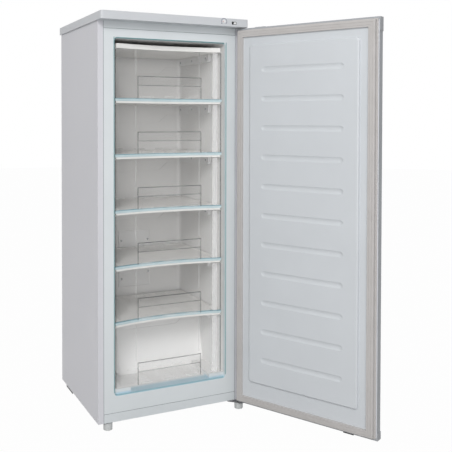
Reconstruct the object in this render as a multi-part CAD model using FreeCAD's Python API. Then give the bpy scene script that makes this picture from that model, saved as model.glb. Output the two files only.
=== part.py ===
import FreeCAD, Part
import math
import os

# Upright freezer with six drawers, its door opened to the stop on the right side.
# Millimetres. X to the right, Y to the back, Z up. The origin lies on the floor, in the
# middle of the width, in the plane of the cabinet's front face.

V = FreeCAD.Vector
Z_AXIS = V(0, 0, 1)

# ---------------------------------------------------------------- driving dimensions
# cabinet
HEIGHT = 1420.0            # floor to the top of the worktop
CABINET_WIDTH = 540.0
CABINET_DEPTH = 480.0      # front face to back panel
CABINET_BOTTOM = 28.5      # floor to the lower edge of the side panels
SHEET = 0.8                # painted steel of the cabinet and of the door
FRONT_FLANGE = 20.0        # folded front edge of a side panel
REAR_FLANGE = 15.0
FLANGE_LIP = 10.0          # return behind the front flange
TOP_RAIL = 24.0            # visible height of the top sheet's front fold
KICK_RAIL = 30.5
KICK_FOLD = 40.0
BASE_RISE = 12.0           # base pan above the lower edge of the side panels
NICHE_DEPTH = 212.0        # compressor niche, from its front wall to the back panel
NICHE_TOP = 288.0

# worktop
WORKTOP_SIDE = 5.0         # overhang at each side
WORKTOP_THICK = 28.0
WORKTOP_FRONT = 52.0       # overhang in front of the cabinet face
WORKTOP_REAR = 4.0
WORKTOP_CORNER = 7.0
WORKTOP_WALL = 3.0
WORKTOP_UNDERSIDE = 2.5
WORKTOP_RIM = 8.0          # how much of the worktop's underside rests on the cabinet
WORKTOP_EDGE = 2.0
WORKTOP_SCREW_INSET = 55.0

# liner and cavity
LINER_WALL = 2.0
SIDE_FOAM = 61.0           # side panel to cavity
CAVITY_BOTTOM = 120.0
TOP_FOAM = 57.0            # cabinet top to cavity
REAR_FOAM = 88.0           # cavity to back panel
CAVITY_CORNER = 10.0
CAVITY_FLARE = 5.0         # how much the mouth of the liner widens, above and below
CAVITY_SIDE_FLARE = 3.0
CAVITY_FLARE_DEPTH = 8.0
SEAM = 0.5                 # half width and depth of the joint lines in the front
CAVITY_SHOULDER = 45.0     # where the side walls start to close in
CAVITY_SHOULDER_END = 105.0
CAVITY_SHOULDER_STEP = 4.5
CAVITY_DRAFT = 3.0         # further narrowing up to the back wall
CAVITY_BACK_ROUND = 14.0
HUMP_FOOT_FOAM = 92.0      # compressor step in the liner: its slanted front before the niche
HUMP_HEAD_FOAM = 46.0
HUMP_TOP = 335.0
FLOOR_PAD_WIDTH = 59.0
FLOOR_PAD_TOP = 135.7
FLOOR_PAD_FRONT = 10.0
FLOOR_PAD_END = 8.0        # rear end before the compressor step

# evaporator plates
PLATE_TOP_GAP = 14.0       # top plate under the cavity's ceiling
TOP_SHORTER = 6.0          # uppermost compartment lower than the others by this
SHELF_COUNT = 5
LOWEST_SHELF = 362.0
PLATE_THICK = 16.0
PLATE_SKIN = 1.2
PLATE_SIDE_GAP = 10.0
PLATE_REAR_GAP = 17.0
ARC_END = 18.0             # y of the front edge beside the walls
ARC_MIDDLE = 43.0          # y of the front edge in the middle: it is concave
TRIM_SIDE_GAP = 6.0
TRIM_HEIGHT = 10.0
TRIM_LEG = 10.0
TRIM_WALL = 1.5
COIL_TUBE = 4.0            # radius of the evaporator tube
COIL_PITCH = 40.0
COIL_RUNS = 9
COIL_FRONT = 84.0
COIL_REAR_GAP = 45.0       # rear bends before the plate's rear edge
RISER_FOAM = 32.0          # risers behind the cavity's back wall
RISER_BEND = 12.0
RISER_BORE = 0.3           # gap of the holes that the tubes pass through
PASS_SPREAD = 20.0         # pipes to the niche, outside the outermost coil runs
PASS_BACK = 14.0
PASS_BEND = 8.0
BRACKET_WIDTH = 17.0
BRACKET_HEIGHT = 33.25
BRACKET_FRONT = 108.0
BRACKET_REAR_GAP = 16.0
BRACKET_NOSE = 12.0
BRACKET_SCREW_FRONT = 21.0 # screws from the bracket's ends, and the middle one's place
BRACKET_SCREW_REAR = 12.0
BRACKET_SCREW_SHARE = 0.5485
COVER_HALF = 65.5
COVER_LOW = 394.0
COVER_HIGH = 618.0
COVER_THICK = 4.0
COVER_SCREWS = [(-55.0, 579.0), (56.0, 579.0), (-53.5, 426.0), (58.0, 448.5)]

# drawers
DRAWER_WALL = 2.2
DRAWER_SETBACK = 1.2       # front face behind the shelf trim
DRAWER_FRONT_GAP = 7.0     # front's ends beside the cavity's walls
DRAWER_SIDE_GAP = 14.0     # rim beside the cavity's walls
DRAWER_TAPER = 15.0        # floor narrower than the rim at each side
DRAWER_REAR_GAP = 12.0
DRAWER_REAR_TAPER = 50.0
DRAWER_REAR_ROUND = 24.0
LOW_DRAWER_GAP = 16.0      # lowest drawer before the compressor step
DRAWER_LIFT = 0.3          # running gap under a drawer
DRAWER_GUIDE_GAP = 2.0     # rim below the brackets
FRONT_GAP = 3.0            # drawer front below the shelf over it
GRIP_HALF = 121.5
GRIP_Y = 17.0
GRIP_TOP = 77.0
GRIP_LEDGE = 46.0
SCOOP_DEPTH = 30.0
SCOOP_HALF_LOW = 100.0
SCOOP_HALF_HIGH = 142.0
SCOOP_ROUND = 14.0
STRIP_PITCH = 88.0
STRIP_WIDTH = 44.0
STRIP_RAISE = 0.8
STRIP_FRONT = 56.0
STRIP_END_GAP = 12.0
FRONT_RIB = 2.0

# door
DOOR_OPEN = 117.0          # degrees from closed, where the stop holds it
DOOR_SIDE = 5.0            # door wider than the cabinet at each side
DOOR_BOTTOM = 29.5
DOOR_TOP_GAP = 3.0         # door under the worktop
DOOR_INNER = -18.0         # inner steel plane, door closed
DOOR_OUTER = -51.5
DOOR_ROUND = 11.0
CAP_LIP = 2.0              # how far the end caps wrap past the skin
TOP_CAP = 10.0
TOP_SKIRT = 45.0
BOTTOM_CAP = 10.0
BOTTOM_SKIRT = 23.0
SKIRT_WIDTH = 22.0
STOP_RISE = 1.4            # raised bar on the top cap
STOP_NEAR = 76.0           # its ends, from the hinge side
STOP_FAR = 117.0
STOP_DEEP = 8.0
PAD_NEAR = 429.0           # rubber pad under the bottom cap
PAD_FAR = 466.0
PAD_HEIGHT = 3.2
PAD_DEEP = 14.0
SKIN_RETURN = 26.0
SEAL_CLEARANCE = 0.4
SEAL_OUTER = 10.0          # main bulb, from the door's edge
SEAL_INNER = 33.0
SEAL_LIP_OUTER = 6.0
SEAL_LIP_HEIGHT = 3.0
SEAL_ROUND = 2.5
SEAL_GROOVE = 1.1
SEAL_GROOVES = [17.0, 26.0]
DOOR_LINER_WALL = 2.0
DOOR_LINER_BORDER = 10.0   # height of the border ring over the inner steel plane
PANEL_FROM_EDGE = 63.0     # raised panel, from the door's edges at the sides
PANEL_FROM_BOTTOM = 90.5
PANEL_FROM_TOP = 62.0
PANEL_RISE = 9.5
PANEL_ROUND = 10.0
PANEL_EDGE = 5.0
GROOVE_COUNT = 11
GROOVE_FROM_BOTTOM = 88.5  # lowest and topmost groove, from the panel's ends
GROOVE_FROM_TOP = 90.0
GROOVE_END_GAP = 53.0
GROOVE_HALF_WIDTH = 10.0
GROOVE_DEPTH = 3.0
GROOVE_TAPER = 14.0        # length of a groove's rounded end

# hinges, feet and rollers
HINGE_INSET = 12.5         # hinge axis from the door's edge
HINGE_Y = -25.0
PIN_RADIUS = 4.0
PIN_CLEARANCE = 0.05
PIN_DEPTH = 15.0
BUSH_RADIUS = 5.8
BUSH_LENGTH = 18.0
COLLAR_RADIUS = 7.5
COLLAR_GAP = 0.3           # door carried just above the lower hinge plate
HINGE_PLATE = 2.5
LOW_PLATE = 3.0
LOW_PLATE_REACH = 48.0     # plate from the cabinet's side inwards
LOW_PLATE_REAR = 38.0
LOW_NOSE = 13.0            # round end of the lower plate about the hinge axis
TOP_NOSE = 8.0
TOP_PLATE_REACH = 55.0
TOP_PLATE_REAR = 70.0
FOOT_RADIUS = 15.5
FOOT_HEIGHT = 24.0
STUD_RADIUS = 4.0
STUD_CLEARANCE = 0.06
LEFT_FOOT_INSET = 40.0     # foot centres from the cabinet's sides
LEFT_FOOT_Y = 18.5
RIGHT_FOOT_INSET = 7.5
RIGHT_FOOT_Y = -9.0
ROLLER_RADIUS = 12.5
ROLLER_WIDTH = 16.0
ROLLER_INSET = 34.0
ROLLER_FROM_BACK = 40.0
AXLE_RADIUS = 3.0
AXLE_CLEARANCE = 0.08
ROLLER_SIDE_GAP = 0.5
BRACKET_SHEET = 1.5

# controls
KNOB_FROM_SIDE = 97.5      # knob from the worktop's right end
KNOB_RISE = 15.8           # knob above the worktop's lower edge
KNOB_RADIUS = 5.6
KNOB_GAP = 0.35
KNOB_PROUD = 2.6
KNOB_SHAFT = 3.0
SWITCH_FROM_SIDE = 48.0
SWITCH_WIDTH = 18.5
SWITCH_HALF_HEIGHT = 5.2
SWITCH_RISE = 12.0
SWITCH_FRAME = 1.4
SWITCH_TRAVEL = 7.0
SWITCH_GAP = 0.3
SWITCH_PROUD = 1.0
SWITCH_DEPTH = 24.0        # contact box behind the fascia
SWITCH_FLANGE = 2.0
THERMOSTAT_HALF = 14.5
THERMOSTAT_DEPTH = 26.0
THERMOSTAT_COLLAR = 8.5
SHAFT_LENGTH = 6.0

# cooling machine
COMPRESSOR_X = 62.0
COMPRESSOR_FROM_BACK = 102.0
COMPRESSOR_RADIUS = 74.0
COMPRESSOR_HEIGHT = 168.0
GROMMET_HEIGHT = 12.0
GROMMET_RADIUS = 9.0
GROMMET_X = 82.0
GROMMET_Y = 50.0
LEG_THICK = 3.0
LEG_WIDTH = 26.0
RAIL_THICK = 2.0
RAIL_FROM_BACK = 150.0     # front edge of the rail
RAIL_SETBACK = 10.0        # its rear edge
RAIL_SKIRT = 8.5
RAIL_SKIRT_FROM_BACK = 63.0
RELAY_WIDTH = 52.0
RELAY_DEPTH = 34.0
RELAY_HEIGHT = 60.0
PIPE_RADIUS = 3.0
CONDENSER_STAND = 30.0     # condenser behind the back panel
CONDENSER_TUBE = 2.4
CONDENSER_INSET = 45.0
CONDENSER_TOP_GAP = 72.0
CONDENSER_LOW = 390.0
CONDENSER_RUNS = 16
CONDENSER_BEND = 12.0
CONDENSER_TAIL = 262.0
WIRE_RADIUS = 0.8
WIRE_PITCH = 18.0
WIRE_COUNT = 20
WIRE_GAP = 0.05
CLIP_RUNS = [2, 12]        # counted from the condenser's top
CLIP_INSET = 43.0
CLIP_WIDTH = 9.0
CLIP_WALL = 2.5
DRIER_RADIUS = 9.0
DRIER_LENGTH = 90.0
GLAND_INSET = 75.0
GLAND_BASE = 24.0
GLAND_FOOT = 4.0
GLAND_RISE = 12.0
GLAND_RADIUS = 8.0
GLAND_BORE = 3.6
GLAND_LENGTH = 34.0
SCREW_HEAD = 4.0
SCREW_HEAD_HEIGHT = 1.8

# ---------------------------------------------------------------- dependent places
# cabinet and worktop
CABINET_TOP = HEIGHT - WORKTOP_THICK
HALF = CABINET_WIDTH / 2
INSIDE = HALF - SHEET
OPENING_HALF = HALF - FRONT_FLANGE
WORKTOP_HALF = HALF + WORKTOP_SIDE
WORKTOP_SCREW_X = HALF - WORKTOP_SCREW_INSET
KICK_TOP = CABINET_BOTTOM + KICK_RAIL
TOP_RAIL_BOTTOM = CABINET_TOP - TOP_RAIL
BASE_Z = CABINET_BOTTOM + BASE_RISE
BACK_INSIDE = CABINET_DEPTH - SHEET
NICHE_FRONT = CABINET_DEPTH - NICHE_DEPTH
FASCIA_Y = -WORKTOP_FRONT
# cavity
CAVITY_HALF = HALF - SIDE_FOAM
CAVITY_TOP = CABINET_TOP - TOP_FOAM
CAVITY_BACK = CABINET_DEPTH - REAR_FOAM
HUMP_FOOT = NICHE_FRONT - HUMP_FOOT_FOAM
HUMP_HEAD = NICHE_FRONT - HUMP_HEAD_FOAM
FLOOR_PAD_INNER = CAVITY_HALF - FLOOR_PAD_WIDTH
FLOOR_PAD_REAR = HUMP_FOOT - FLOOR_PAD_END
# plates and brackets
PLATE_TOP_Z = CAVITY_TOP - PLATE_TOP_GAP
SHELF_PITCH = (PLATE_TOP_Z + TOP_SHORTER - LOWEST_SHELF) / SHELF_COUNT
SHELF_TOPS = [LOWEST_SHELF + SHELF_PITCH * (SHELF_COUNT - n) for n in range(1, SHELF_COUNT + 1)]
SHELVES = [PLATE_TOP_Z] + SHELF_TOPS
PLATE_HALF = CAVITY_HALF - PLATE_SIDE_GAP
PLATE_REAR = CAVITY_BACK - PLATE_REAR_GAP
TRIM_HALF = CAVITY_HALF - TRIM_SIDE_GAP
COIL_REAR = PLATE_REAR - COIL_REAR_GAP
RISER_Y = CAVITY_BACK + RISER_FOAM
BRACKET_INNER = CAVITY_HALF - BRACKET_WIDTH
BRACKET_REAR = CAVITY_BACK - BRACKET_REAR_GAP
BRACKET_SCREW_FIRST = BRACKET_FRONT + BRACKET_SCREW_FRONT
BRACKET_SCREW_LAST = BRACKET_REAR - BRACKET_SCREW_REAR
BRACKET_SCREW_MIDDLE = BRACKET_FRONT + BRACKET_SCREW_SHARE * (BRACKET_REAR - BRACKET_FRONT)
BRACKET_SCREWS = [BRACKET_SCREW_FIRST, BRACKET_SCREW_MIDDLE, BRACKET_SCREW_LAST]
# drawers
DRAWER_SPACE = SHELF_PITCH - TRIM_WALL / 2 - PLATE_THICK - BRACKET_HEIGHT
DRAWER_FRONT_HALF = CAVITY_HALF - DRAWER_FRONT_GAP
DRAWER_TOP_HALF = CAVITY_HALF - DRAWER_SIDE_GAP
DRAWER_BOTTOM_HALF = DRAWER_TOP_HALF - DRAWER_TAPER
DRAWER_REAR_TOP = CAVITY_BACK - DRAWER_REAR_GAP
DRAWER_REAR_BOTTOM = DRAWER_REAR_TOP - DRAWER_REAR_TAPER
LOW_DRAWER_REAR_TOP = HUMP_HEAD - LOW_DRAWER_GAP
LOW_DRAWER_REAR_BOTTOM = HUMP_FOOT - LOW_DRAWER_GAP
# door and hinges
DOOR_WIDTH = CABINET_WIDTH + 2 * DOOR_SIDE
DOOR_TOP = CABINET_TOP - DOOR_TOP_GAP
SEAL_TOP = -SEAL_CLEARANCE
PANEL_BOTTOM = DOOR_BOTTOM + PANEL_FROM_BOTTOM
PANEL_TOP = DOOR_TOP - PANEL_FROM_TOP
GROOVE_FIRST = PANEL_BOTTOM + GROOVE_FROM_BOTTOM
GROOVE_PITCH = (PANEL_TOP - GROOVE_FROM_TOP - GROOVE_FIRST) / (GROOVE_COUNT - 1)
GROOVE_HALF_LENGTH = DOOR_WIDTH / 2 - PANEL_FROM_EDGE - GROOVE_END_GAP
GROOVE_RADIUS = (GROOVE_HALF_WIDTH ** 2 + GROOVE_DEPTH ** 2) / (2 * GROOVE_DEPTH)
GROOVE_END_RADIUS = (GROOVE_TAPER ** 2 + GROOVE_DEPTH ** 2) / (2 * GROOVE_DEPTH)
HINGE_X = DOOR_WIDTH / 2 - HINGE_INSET
HINGE_AXIS = V(HINGE_X, HINGE_Y, 0)
LOW_PLATE_LEFT = HALF - LOW_PLATE_REACH
LOW_PLATE_Z = CABINET_BOTTOM - LOW_PLATE
TOP_PLATE_LEFT = HALF - TOP_PLATE_REACH
LEFT_FOOT = (LEFT_FOOT_INSET - HALF, LEFT_FOOT_Y)
RIGHT_FOOT = (HALF - RIGHT_FOOT_INSET, RIGHT_FOOT_Y)
ROLLER_X = HALF - ROLLER_INSET
ROLLER_Y = CABINET_DEPTH - ROLLER_FROM_BACK
# controls
KNOB_X = WORKTOP_HALF - KNOB_FROM_SIDE
KNOB_Z = CABINET_TOP + KNOB_RISE
SWITCH_RIGHT = WORKTOP_HALF - SWITCH_FROM_SIDE
SWITCH_LEFT = SWITCH_RIGHT - SWITCH_WIDTH
SWITCH_Z = CABINET_TOP + SWITCH_RISE
# cooling machine
RAIL_Z = CABINET_BOTTOM
RAIL_FRONT = CABINET_DEPTH - RAIL_FROM_BACK
RAIL_REAR = CABINET_DEPTH - RAIL_SETBACK
RAIL_SKIRT_REAR = CABINET_DEPTH - RAIL_SKIRT_FROM_BACK
COMPRESSOR_Y = CABINET_DEPTH - COMPRESSOR_FROM_BACK
LEG_Z = RAIL_Z + RAIL_THICK + GROMMET_HEIGHT
SHELL_Z = LEG_Z + LEG_THICK
CONDENSER_Y = CABINET_DEPTH + CONDENSER_STAND
CONDENSER_HALF = HALF - CONDENSER_INSET
CONDENSER_TOP = CABINET_TOP - CONDENSER_TOP_GAP
CONDENSER_PITCH = (CONDENSER_TOP - CONDENSER_LOW) / (CONDENSER_RUNS - 1)
CLIP_X = CONDENSER_HALF - CLIP_INSET
GLAND_X = GLAND_INSET - HALF


# ---------------------------------------------------------------- helpers
def box(x0, x1, y0, y1, z0, z1):
    return Part.makeBox(x1 - x0, y1 - y0, z1 - z0, V(x0, y0, z0))


def centred_box(half, y0, y1, z0, z1):
    return box(-half, half, y0, y1, z0, z1)


def rod(start, axis, length, radius):
    return Part.makeCylinder(radius, length, start, axis)


def polygon(points):
    return Part.Face(Part.makePolygon(points + [points[0]]))


def rounded_path(points, radius):
    """Straight runs joined by tangent arcs of one radius."""
    edges = []
    last = points[0]
    for before, corner, after in zip(points, points[1:], points[2:]):
        into = (corner - before).normalize()
        out = (after - corner).normalize()
        turn = into.getAngle(out)
        reach = radius * math.tan(turn / 2)
        start = corner - into * reach
        end = corner + out * reach
        inward = (out - into).normalize()
        middle = corner + inward * (radius / math.cos(turn / 2) - radius)
        if (start - last).Length > 1e-6:
            edges.append(Part.LineSegment(last, start).toShape())
        edges.append(Part.Arc(start, middle, end).toShape())
        last = end
    if (points[-1] - last).Length > 1e-6:
        edges.append(Part.LineSegment(last, points[-1]).toShape())
    return Part.Wire(edges)


def tube(points, radius, bend):
    """A round bar along a path with tangent bends."""
    path = rounded_path(points, bend)
    first = points[1] - points[0]
    circle = Part.Circle(points[0], first, radius).toShape()
    return path.makePipeShell([Part.Wire([circle])], True, False)


def rounded_rectangle(half, z0, z1, radius, y):
    """A rectangle with round corners in the plane at y."""
    k = radius * (1 - math.sqrt(0.5))
    corners = [(half, z0, -1, 1), (half, z1, -1, -1), (-half, z1, 1, -1), (-half, z0, 1, 1)]
    arcs = []
    for index, (x, z, sx, sz) in enumerate(corners):
        on_side = V(x, y, z + sz * radius)
        on_level = V(x + sx * radius, y, z)
        middle = V(x + sx * k, y, z + sz * k)
        ends = [on_level, on_side] if index % 2 == 0 else [on_side, on_level]
        arcs.append(Part.Arc(ends[0], middle, ends[1]))
    edges = []
    for arc, following in zip(arcs, arcs[1:] + arcs[:1]):
        edges.append(arc.toShape())
        edges.append(Part.LineSegment(arc.EndPoint, following.StartPoint).toShape())
    return Part.Wire(edges)


def plan_prism(wire, z0, z1):
    solid = Part.Face(wire).extrude(V(0, 0, z1 - z0))
    solid.translate(V(0, 0, z0))
    return solid


def arc_y(x, setback=0.0):
    """Front edge of shelves and drawers at x: a shallow arc through its ends and middle."""
    sag = ARC_MIDDLE - ARC_END
    radius = (PLATE_HALF ** 2 + sag ** 2) / (2 * sag)
    centre = ARC_MIDDLE - radius
    return centre + math.sqrt(radius ** 2 - x ** 2) + setback


def arc_plan(half, setback, rear):
    """Plan outline with the concave front edge, at z 0."""
    left = V(-half, arc_y(half, setback), 0)
    right = V(half, arc_y(half, setback), 0)
    front = Part.Arc(left, V(0, ARC_MIDDLE + setback, 0), right).toShape()
    back = Part.makePolygon([right, V(half, rear, 0), V(-half, rear, 0), left])
    return Part.Wire([front] + back.Edges)


def arc_band(half, setback, thick, z0, z1):
    """An upright band that follows the concave front edge."""
    rear = ARC_MIDDLE + setback + thick + 40
    outer = plan_prism(arc_plan(half, setback, rear), z0, z1)
    inner = plan_prism(arc_plan(half + 5, setback + thick, rear + 5), z0 - 1, z1 + 1)
    return outer.cut(inner)


def screw(point, axis):
    """A pan-head screw's head and the start of its shank, standing along axis."""
    head = rod(point, axis, SCREW_HEAD_HEIGHT, SCREW_HEAD)
    rim = [edge for edge in head.Edges if (edge.CenterOfMass - point).dot(axis) > 1]
    head = head.makeFillet(SCREW_HEAD_HEIGHT / 2, [e for e in rim if len(e.Vertexes) == 1])
    slot = SCREW_HEAD / 4
    depth = SCREW_HEAD_HEIGHT / 2
    cross = Part.makeBox(2 * slot * 2, slot, depth, V(-2 * slot, -slot / 2, 0))
    cross = cross.fuse(Part.makeBox(slot, 2 * slot * 2, depth, V(-slot / 2, -2 * slot, 0)))
    turn = FreeCAD.Rotation(Z_AXIS, axis)
    cross.Placement = FreeCAD.Placement(point + axis * (SCREW_HEAD_HEIGHT - depth), turn)
    return head.cut(cross)


def group(shapes):
    return Part.makeCompound(shapes)


def export(name, shape):
    os.makedirs("parts", exist_ok=True)
    shape.exportStep(os.path.join("parts", name + ".step"))
    print(name, len(shape.Solids), round(shape.Volume), shape.isValid())


def cut_seams(shape):
    """Cuts the V-shaped lines where the liner's flange, the rails and the side panels meet."""
    for x in (-OPENING_HALF, OPENING_HALF):
        bar = polygon([V(x - SEAM, 0, 0), V(x, -SEAM, 0), V(x + SEAM, 0, 0), V(x, SEAM, 0)])
        shape = shape.cut(bar.extrude(V(0, 0, HEIGHT)))
    for z in (KICK_TOP, TOP_RAIL_BOTTOM):
        start = -OPENING_HALF
        bar = polygon([V(start, 0, z - SEAM), V(start, -SEAM, z), V(start, 0, z + SEAM), V(start, SEAM, z)])
        shape = shape.cut(bar.extrude(V(2 * OPENING_HALF, 0, 0)))
    return shape


# ---------------------------------------------------------------- liner
def cavity(grow):
    """The hollow of the liner, or with its wall thickness as grow, the liner's outside."""
    shoulder_half = CAVITY_HALF - CAVITY_SHOULDER_STEP
    rear_half = shoulder_half - CAVITY_DRAFT
    rounding = CAVITY_BACK_ROUND
    stations = [
        (0.0, CAVITY_HALF + CAVITY_SIDE_FLARE, CAVITY_FLARE),
        (CAVITY_FLARE_DEPTH / 4, CAVITY_HALF + CAVITY_SIDE_FLARE / 3, CAVITY_FLARE / 3),
        (CAVITY_FLARE_DEPTH, CAVITY_HALF, 0.0),
        (CAVITY_SHOULDER, CAVITY_HALF, 0.0),
        (CAVITY_SHOULDER_END, shoulder_half, 0.0),
        (CAVITY_BACK - rounding + grow, rear_half, 0.0),
        (CAVITY_BACK - rounding * 0.3 + grow, rear_half - rounding * 0.3, -rounding * 0.3),
        (CAVITY_BACK + grow, rear_half - rounding, -rounding),
    ]
    wires = []
    for y, half, spread in stations:
        low = CAVITY_BOTTOM - spread - grow
        high = CAVITY_TOP + spread + grow
        wires.append(rounded_rectangle(half + grow, low, high, CAVITY_CORNER, y))
    room = Part.makeLoft(wires, True, True)
    slope = (HUMP_HEAD - HUMP_FOOT) / (HUMP_TOP - CAVITY_BOTTOM)
    deep = CAVITY_BOTTOM - 3 * CAVITY_FLARE
    foot = HUMP_FOOT - slope * (CAVITY_BOTTOM - deep) + grow
    head = HUMP_HEAD + grow
    top = HUMP_TOP - grow
    profile = [V(-HALF, foot, deep), V(-HALF, head, top), V(-HALF, BACK_INSIDE, top),
               V(-HALF, BACK_INSIDE, deep)]
    hump = polygon(profile).extrude(V(CABINET_WIDTH, 0, 0))
    return room.cut(hump)


ROOM = cavity(0.0)


def inner_liner():
    outside = cavity(LINER_WALL)
    flange = centred_box(OPENING_HALF, 0, LINER_WALL, KICK_TOP, TOP_RAIL_BOTTOM)
    tub = outside.fuse(flange).cut(ROOM)
    pad = box(FLOOR_PAD_INNER, HALF, FLOOR_PAD_FRONT, FLOOR_PAD_REAR,
              CAVITY_BOTTOM - LINER_WALL / 2, FLOOR_PAD_TOP)
    pads = [pad, pad.mirror(V(0, 0, 0), V(1, 0, 0))]
    for piece in pads:
        tub = tub.fuse(piece.common(cavity(LINER_WALL / 2)))
    for hole in riser_holes():
        tub = tub.cut(hole)
    return cut_seams(tub.removeSplitter())


def cabinet_foam():
    back = BACK_INSIDE
    block = centred_box(INSIDE, 0, back, BASE_Z + SHEET, CABINET_TOP - SHEET)
    block = block.cut(centred_box(HALF, NICHE_FRONT - SHEET, back + 1, 0, NICHE_TOP + SHEET))
    front_trim = centred_box(HALF, -1, SHEET, 0, HEIGHT)
    lips = box(OPENING_HALF, HALF, -1, FLANGE_LIP, 0, HEIGHT)
    foam = block.cut(front_trim).cut(lips).cut(lips.mirror(V(0, 0, 0), V(1, 0, 0)))
    foam = foam.cut(centred_box(OPENING_HALF, -1, LINER_WALL, KICK_TOP, TOP_RAIL_BOTTOM))
    foam = foam.cut(centred_box(HALF, -1, KICK_FOLD, 0, KICK_TOP))
    foam = foam.cut(cavity(LINER_WALL))
    for x, z in coil_ends():
        foam = foam.cut(rod(V(x, CAVITY_BACK, z), V(0, 1, 0), RISER_Y - RISER_BEND - CAVITY_BACK,
                            COIL_TUBE + RISER_BORE))
    for riser in evaporator_risers(RISER_BORE):
        foam = foam.cut(riser)
    return foam


# ---------------------------------------------------------------- cabinet shell
def side_panel():
    """The right side panel: outer sheet, front fold with its lip, rear fold."""
    sheet = box(INSIDE, HALF, 0, CABINET_DEPTH, CABINET_BOTTOM, CABINET_TOP)
    front = box(OPENING_HALF, HALF, 0, SHEET, CABINET_BOTTOM, CABINET_TOP)
    lip = box(OPENING_HALF, OPENING_HALF + SHEET, 0, FLANGE_LIP, CABINET_BOTTOM, CABINET_TOP)
    rear = box(HALF - REAR_FLANGE, HALF, BACK_INSIDE, CABINET_DEPTH, CABINET_BOTTOM, CABINET_TOP)
    return cut_seams(sheet.fuse([front, lip, rear]).removeSplitter())


def back_panel():
    half = HALF - REAR_FLANGE
    return centred_box(half, BACK_INSIDE, CABINET_DEPTH, NICHE_TOP, CABINET_TOP)


def top_sheet():
    """The cabinet's top with its front fold, the visible top rail."""
    sheet = centred_box(INSIDE, FLANGE_LIP, BACK_INSIDE, CABINET_TOP - SHEET, CABINET_TOP)
    bridge = centred_box(OPENING_HALF, 0, FLANGE_LIP, CABINET_TOP - SHEET, CABINET_TOP)
    fold = centred_box(OPENING_HALF, 0, SHEET, TOP_RAIL_BOTTOM, CABINET_TOP)
    return cut_seams(sheet.fuse([bridge, fold]).removeSplitter())


def kick_rail():
    half = OPENING_HALF
    front = centred_box(half, 0, SHEET, CABINET_BOTTOM, KICK_TOP)
    fold = centred_box(half, 0, KICK_FOLD, CABINET_BOTTOM, CABINET_BOTTOM + SHEET)
    top = centred_box(half, 0, KICK_FOLD, KICK_TOP - SHEET, KICK_TOP)
    foot_hole = rod(V(LEFT_FOOT[0], LEFT_FOOT[1], 0), Z_AXIS, HEIGHT / 4, STUD_RADIUS + STUD_CLEARANCE)
    top_cut = centred_box(half, FLANGE_LIP, KICK_FOLD + 1, BASE_Z, KICK_TOP + 1)
    return cut_seams(front.fuse([fold, top.cut(top_cut)]).removeSplitter().cut(foot_hole))


def base_pan():
    return centred_box(INSIDE, KICK_FOLD, NICHE_FRONT, BASE_Z, BASE_Z + SHEET)


def niche_panel():
    wall = centred_box(INSIDE, NICHE_FRONT - SHEET, NICHE_FRONT, BASE_Z + SHEET, NICHE_TOP + SHEET)
    deck = centred_box(INSIDE, NICHE_FRONT, BACK_INSIDE, NICHE_TOP, NICHE_TOP + SHEET)
    panel = wall.fuse(deck).removeSplitter()
    for x, y in pipe_passes():
        panel = panel.cut(rod(V(x, y, NICHE_TOP - 1), Z_AXIS, SHEET + 2, PIPE_RADIUS + 1))
    return panel


def worktop():
    half = WORKTOP_HALF
    rear = CABINET_DEPTH + WORKTOP_REAR
    body = centred_box(half, FASCIA_Y, rear, CABINET_TOP, HEIGHT)
    corners = [e for e in body.Edges if is_upright(e) and e.CenterOfMass.y < 0]
    body = body.makeFillet(WORKTOP_CORNER, corners)
    brim = [e for e in body.Edges if e.BoundBox.ZMin > HEIGHT - 1]
    body = body.makeFillet(WORKTOP_EDGE, brim)
    wall = WORKTOP_WALL
    hollow = centred_box(half - wall, FASCIA_Y + wall, rear - wall,
                         CABINET_TOP + WORKTOP_UNDERSIDE, HEIGHT - wall)
    inner_corners = [e for e in hollow.Edges if is_upright(e) and e.CenterOfMass.y < 0]
    hollow = hollow.makeFillet(WORKTOP_CORNER - wall, inner_corners)
    mouth = centred_box(HALF - WORKTOP_RIM, WORKTOP_RIM, CABINET_DEPTH - WORKTOP_RIM,
                        CABINET_TOP - 1, CABINET_TOP + WORKTOP_UNDERSIDE)
    body = body.cut(hollow).cut(mouth).cut(top_hinge_outline(CABINET_TOP))
    knob_hole = rod(V(KNOB_X, FASCIA_Y - 1, KNOB_Z), V(0, 1, 0), wall + 2, KNOB_RADIUS + KNOB_GAP)
    switch_hole = box(SWITCH_LEFT, SWITCH_RIGHT, FASCIA_Y - 1, FASCIA_Y + wall + 1,
                      SWITCH_Z - SWITCH_HALF_HEIGHT, SWITCH_Z + SWITCH_HALF_HEIGHT)
    return body.cut(knob_hole).cut(switch_hole)


def is_upright(edge):
    box_of_edge = edge.BoundBox
    return box_of_edge.ZLength > 5 and box_of_edge.XLength < 0.01 and box_of_edge.YLength < 0.01


# ---------------------------------------------------------------- controls
def thermostat_knob():
    start = V(KNOB_X, FASCIA_Y - KNOB_PROUD, KNOB_Z)
    cap = rod(start, V(0, 1, 0), KNOB_PROUD + WORKTOP_WALL - KNOB_GAP, KNOB_RADIUS)
    rim = [e for e in cap.Edges if e.BoundBox.YMax < start.y + 0.01]
    cap = cap.makeChamfer(KNOB_RADIUS / 8, rim)
    slot = box(KNOB_X - KNOB_RADIUS / 9, KNOB_X + KNOB_RADIUS / 9, start.y - 1,
               start.y + KNOB_PROUD / 3, KNOB_Z, KNOB_Z + KNOB_RADIUS - 1)
    shaft = rod(V(KNOB_X, FASCIA_Y + WORKTOP_WALL - KNOB_GAP, KNOB_Z), V(0, 1, 0), SHAFT_LENGTH,
                KNOB_SHAFT - PIN_CLEARANCE)
    return cap.cut(slot).fuse(shaft).removeSplitter()


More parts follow.
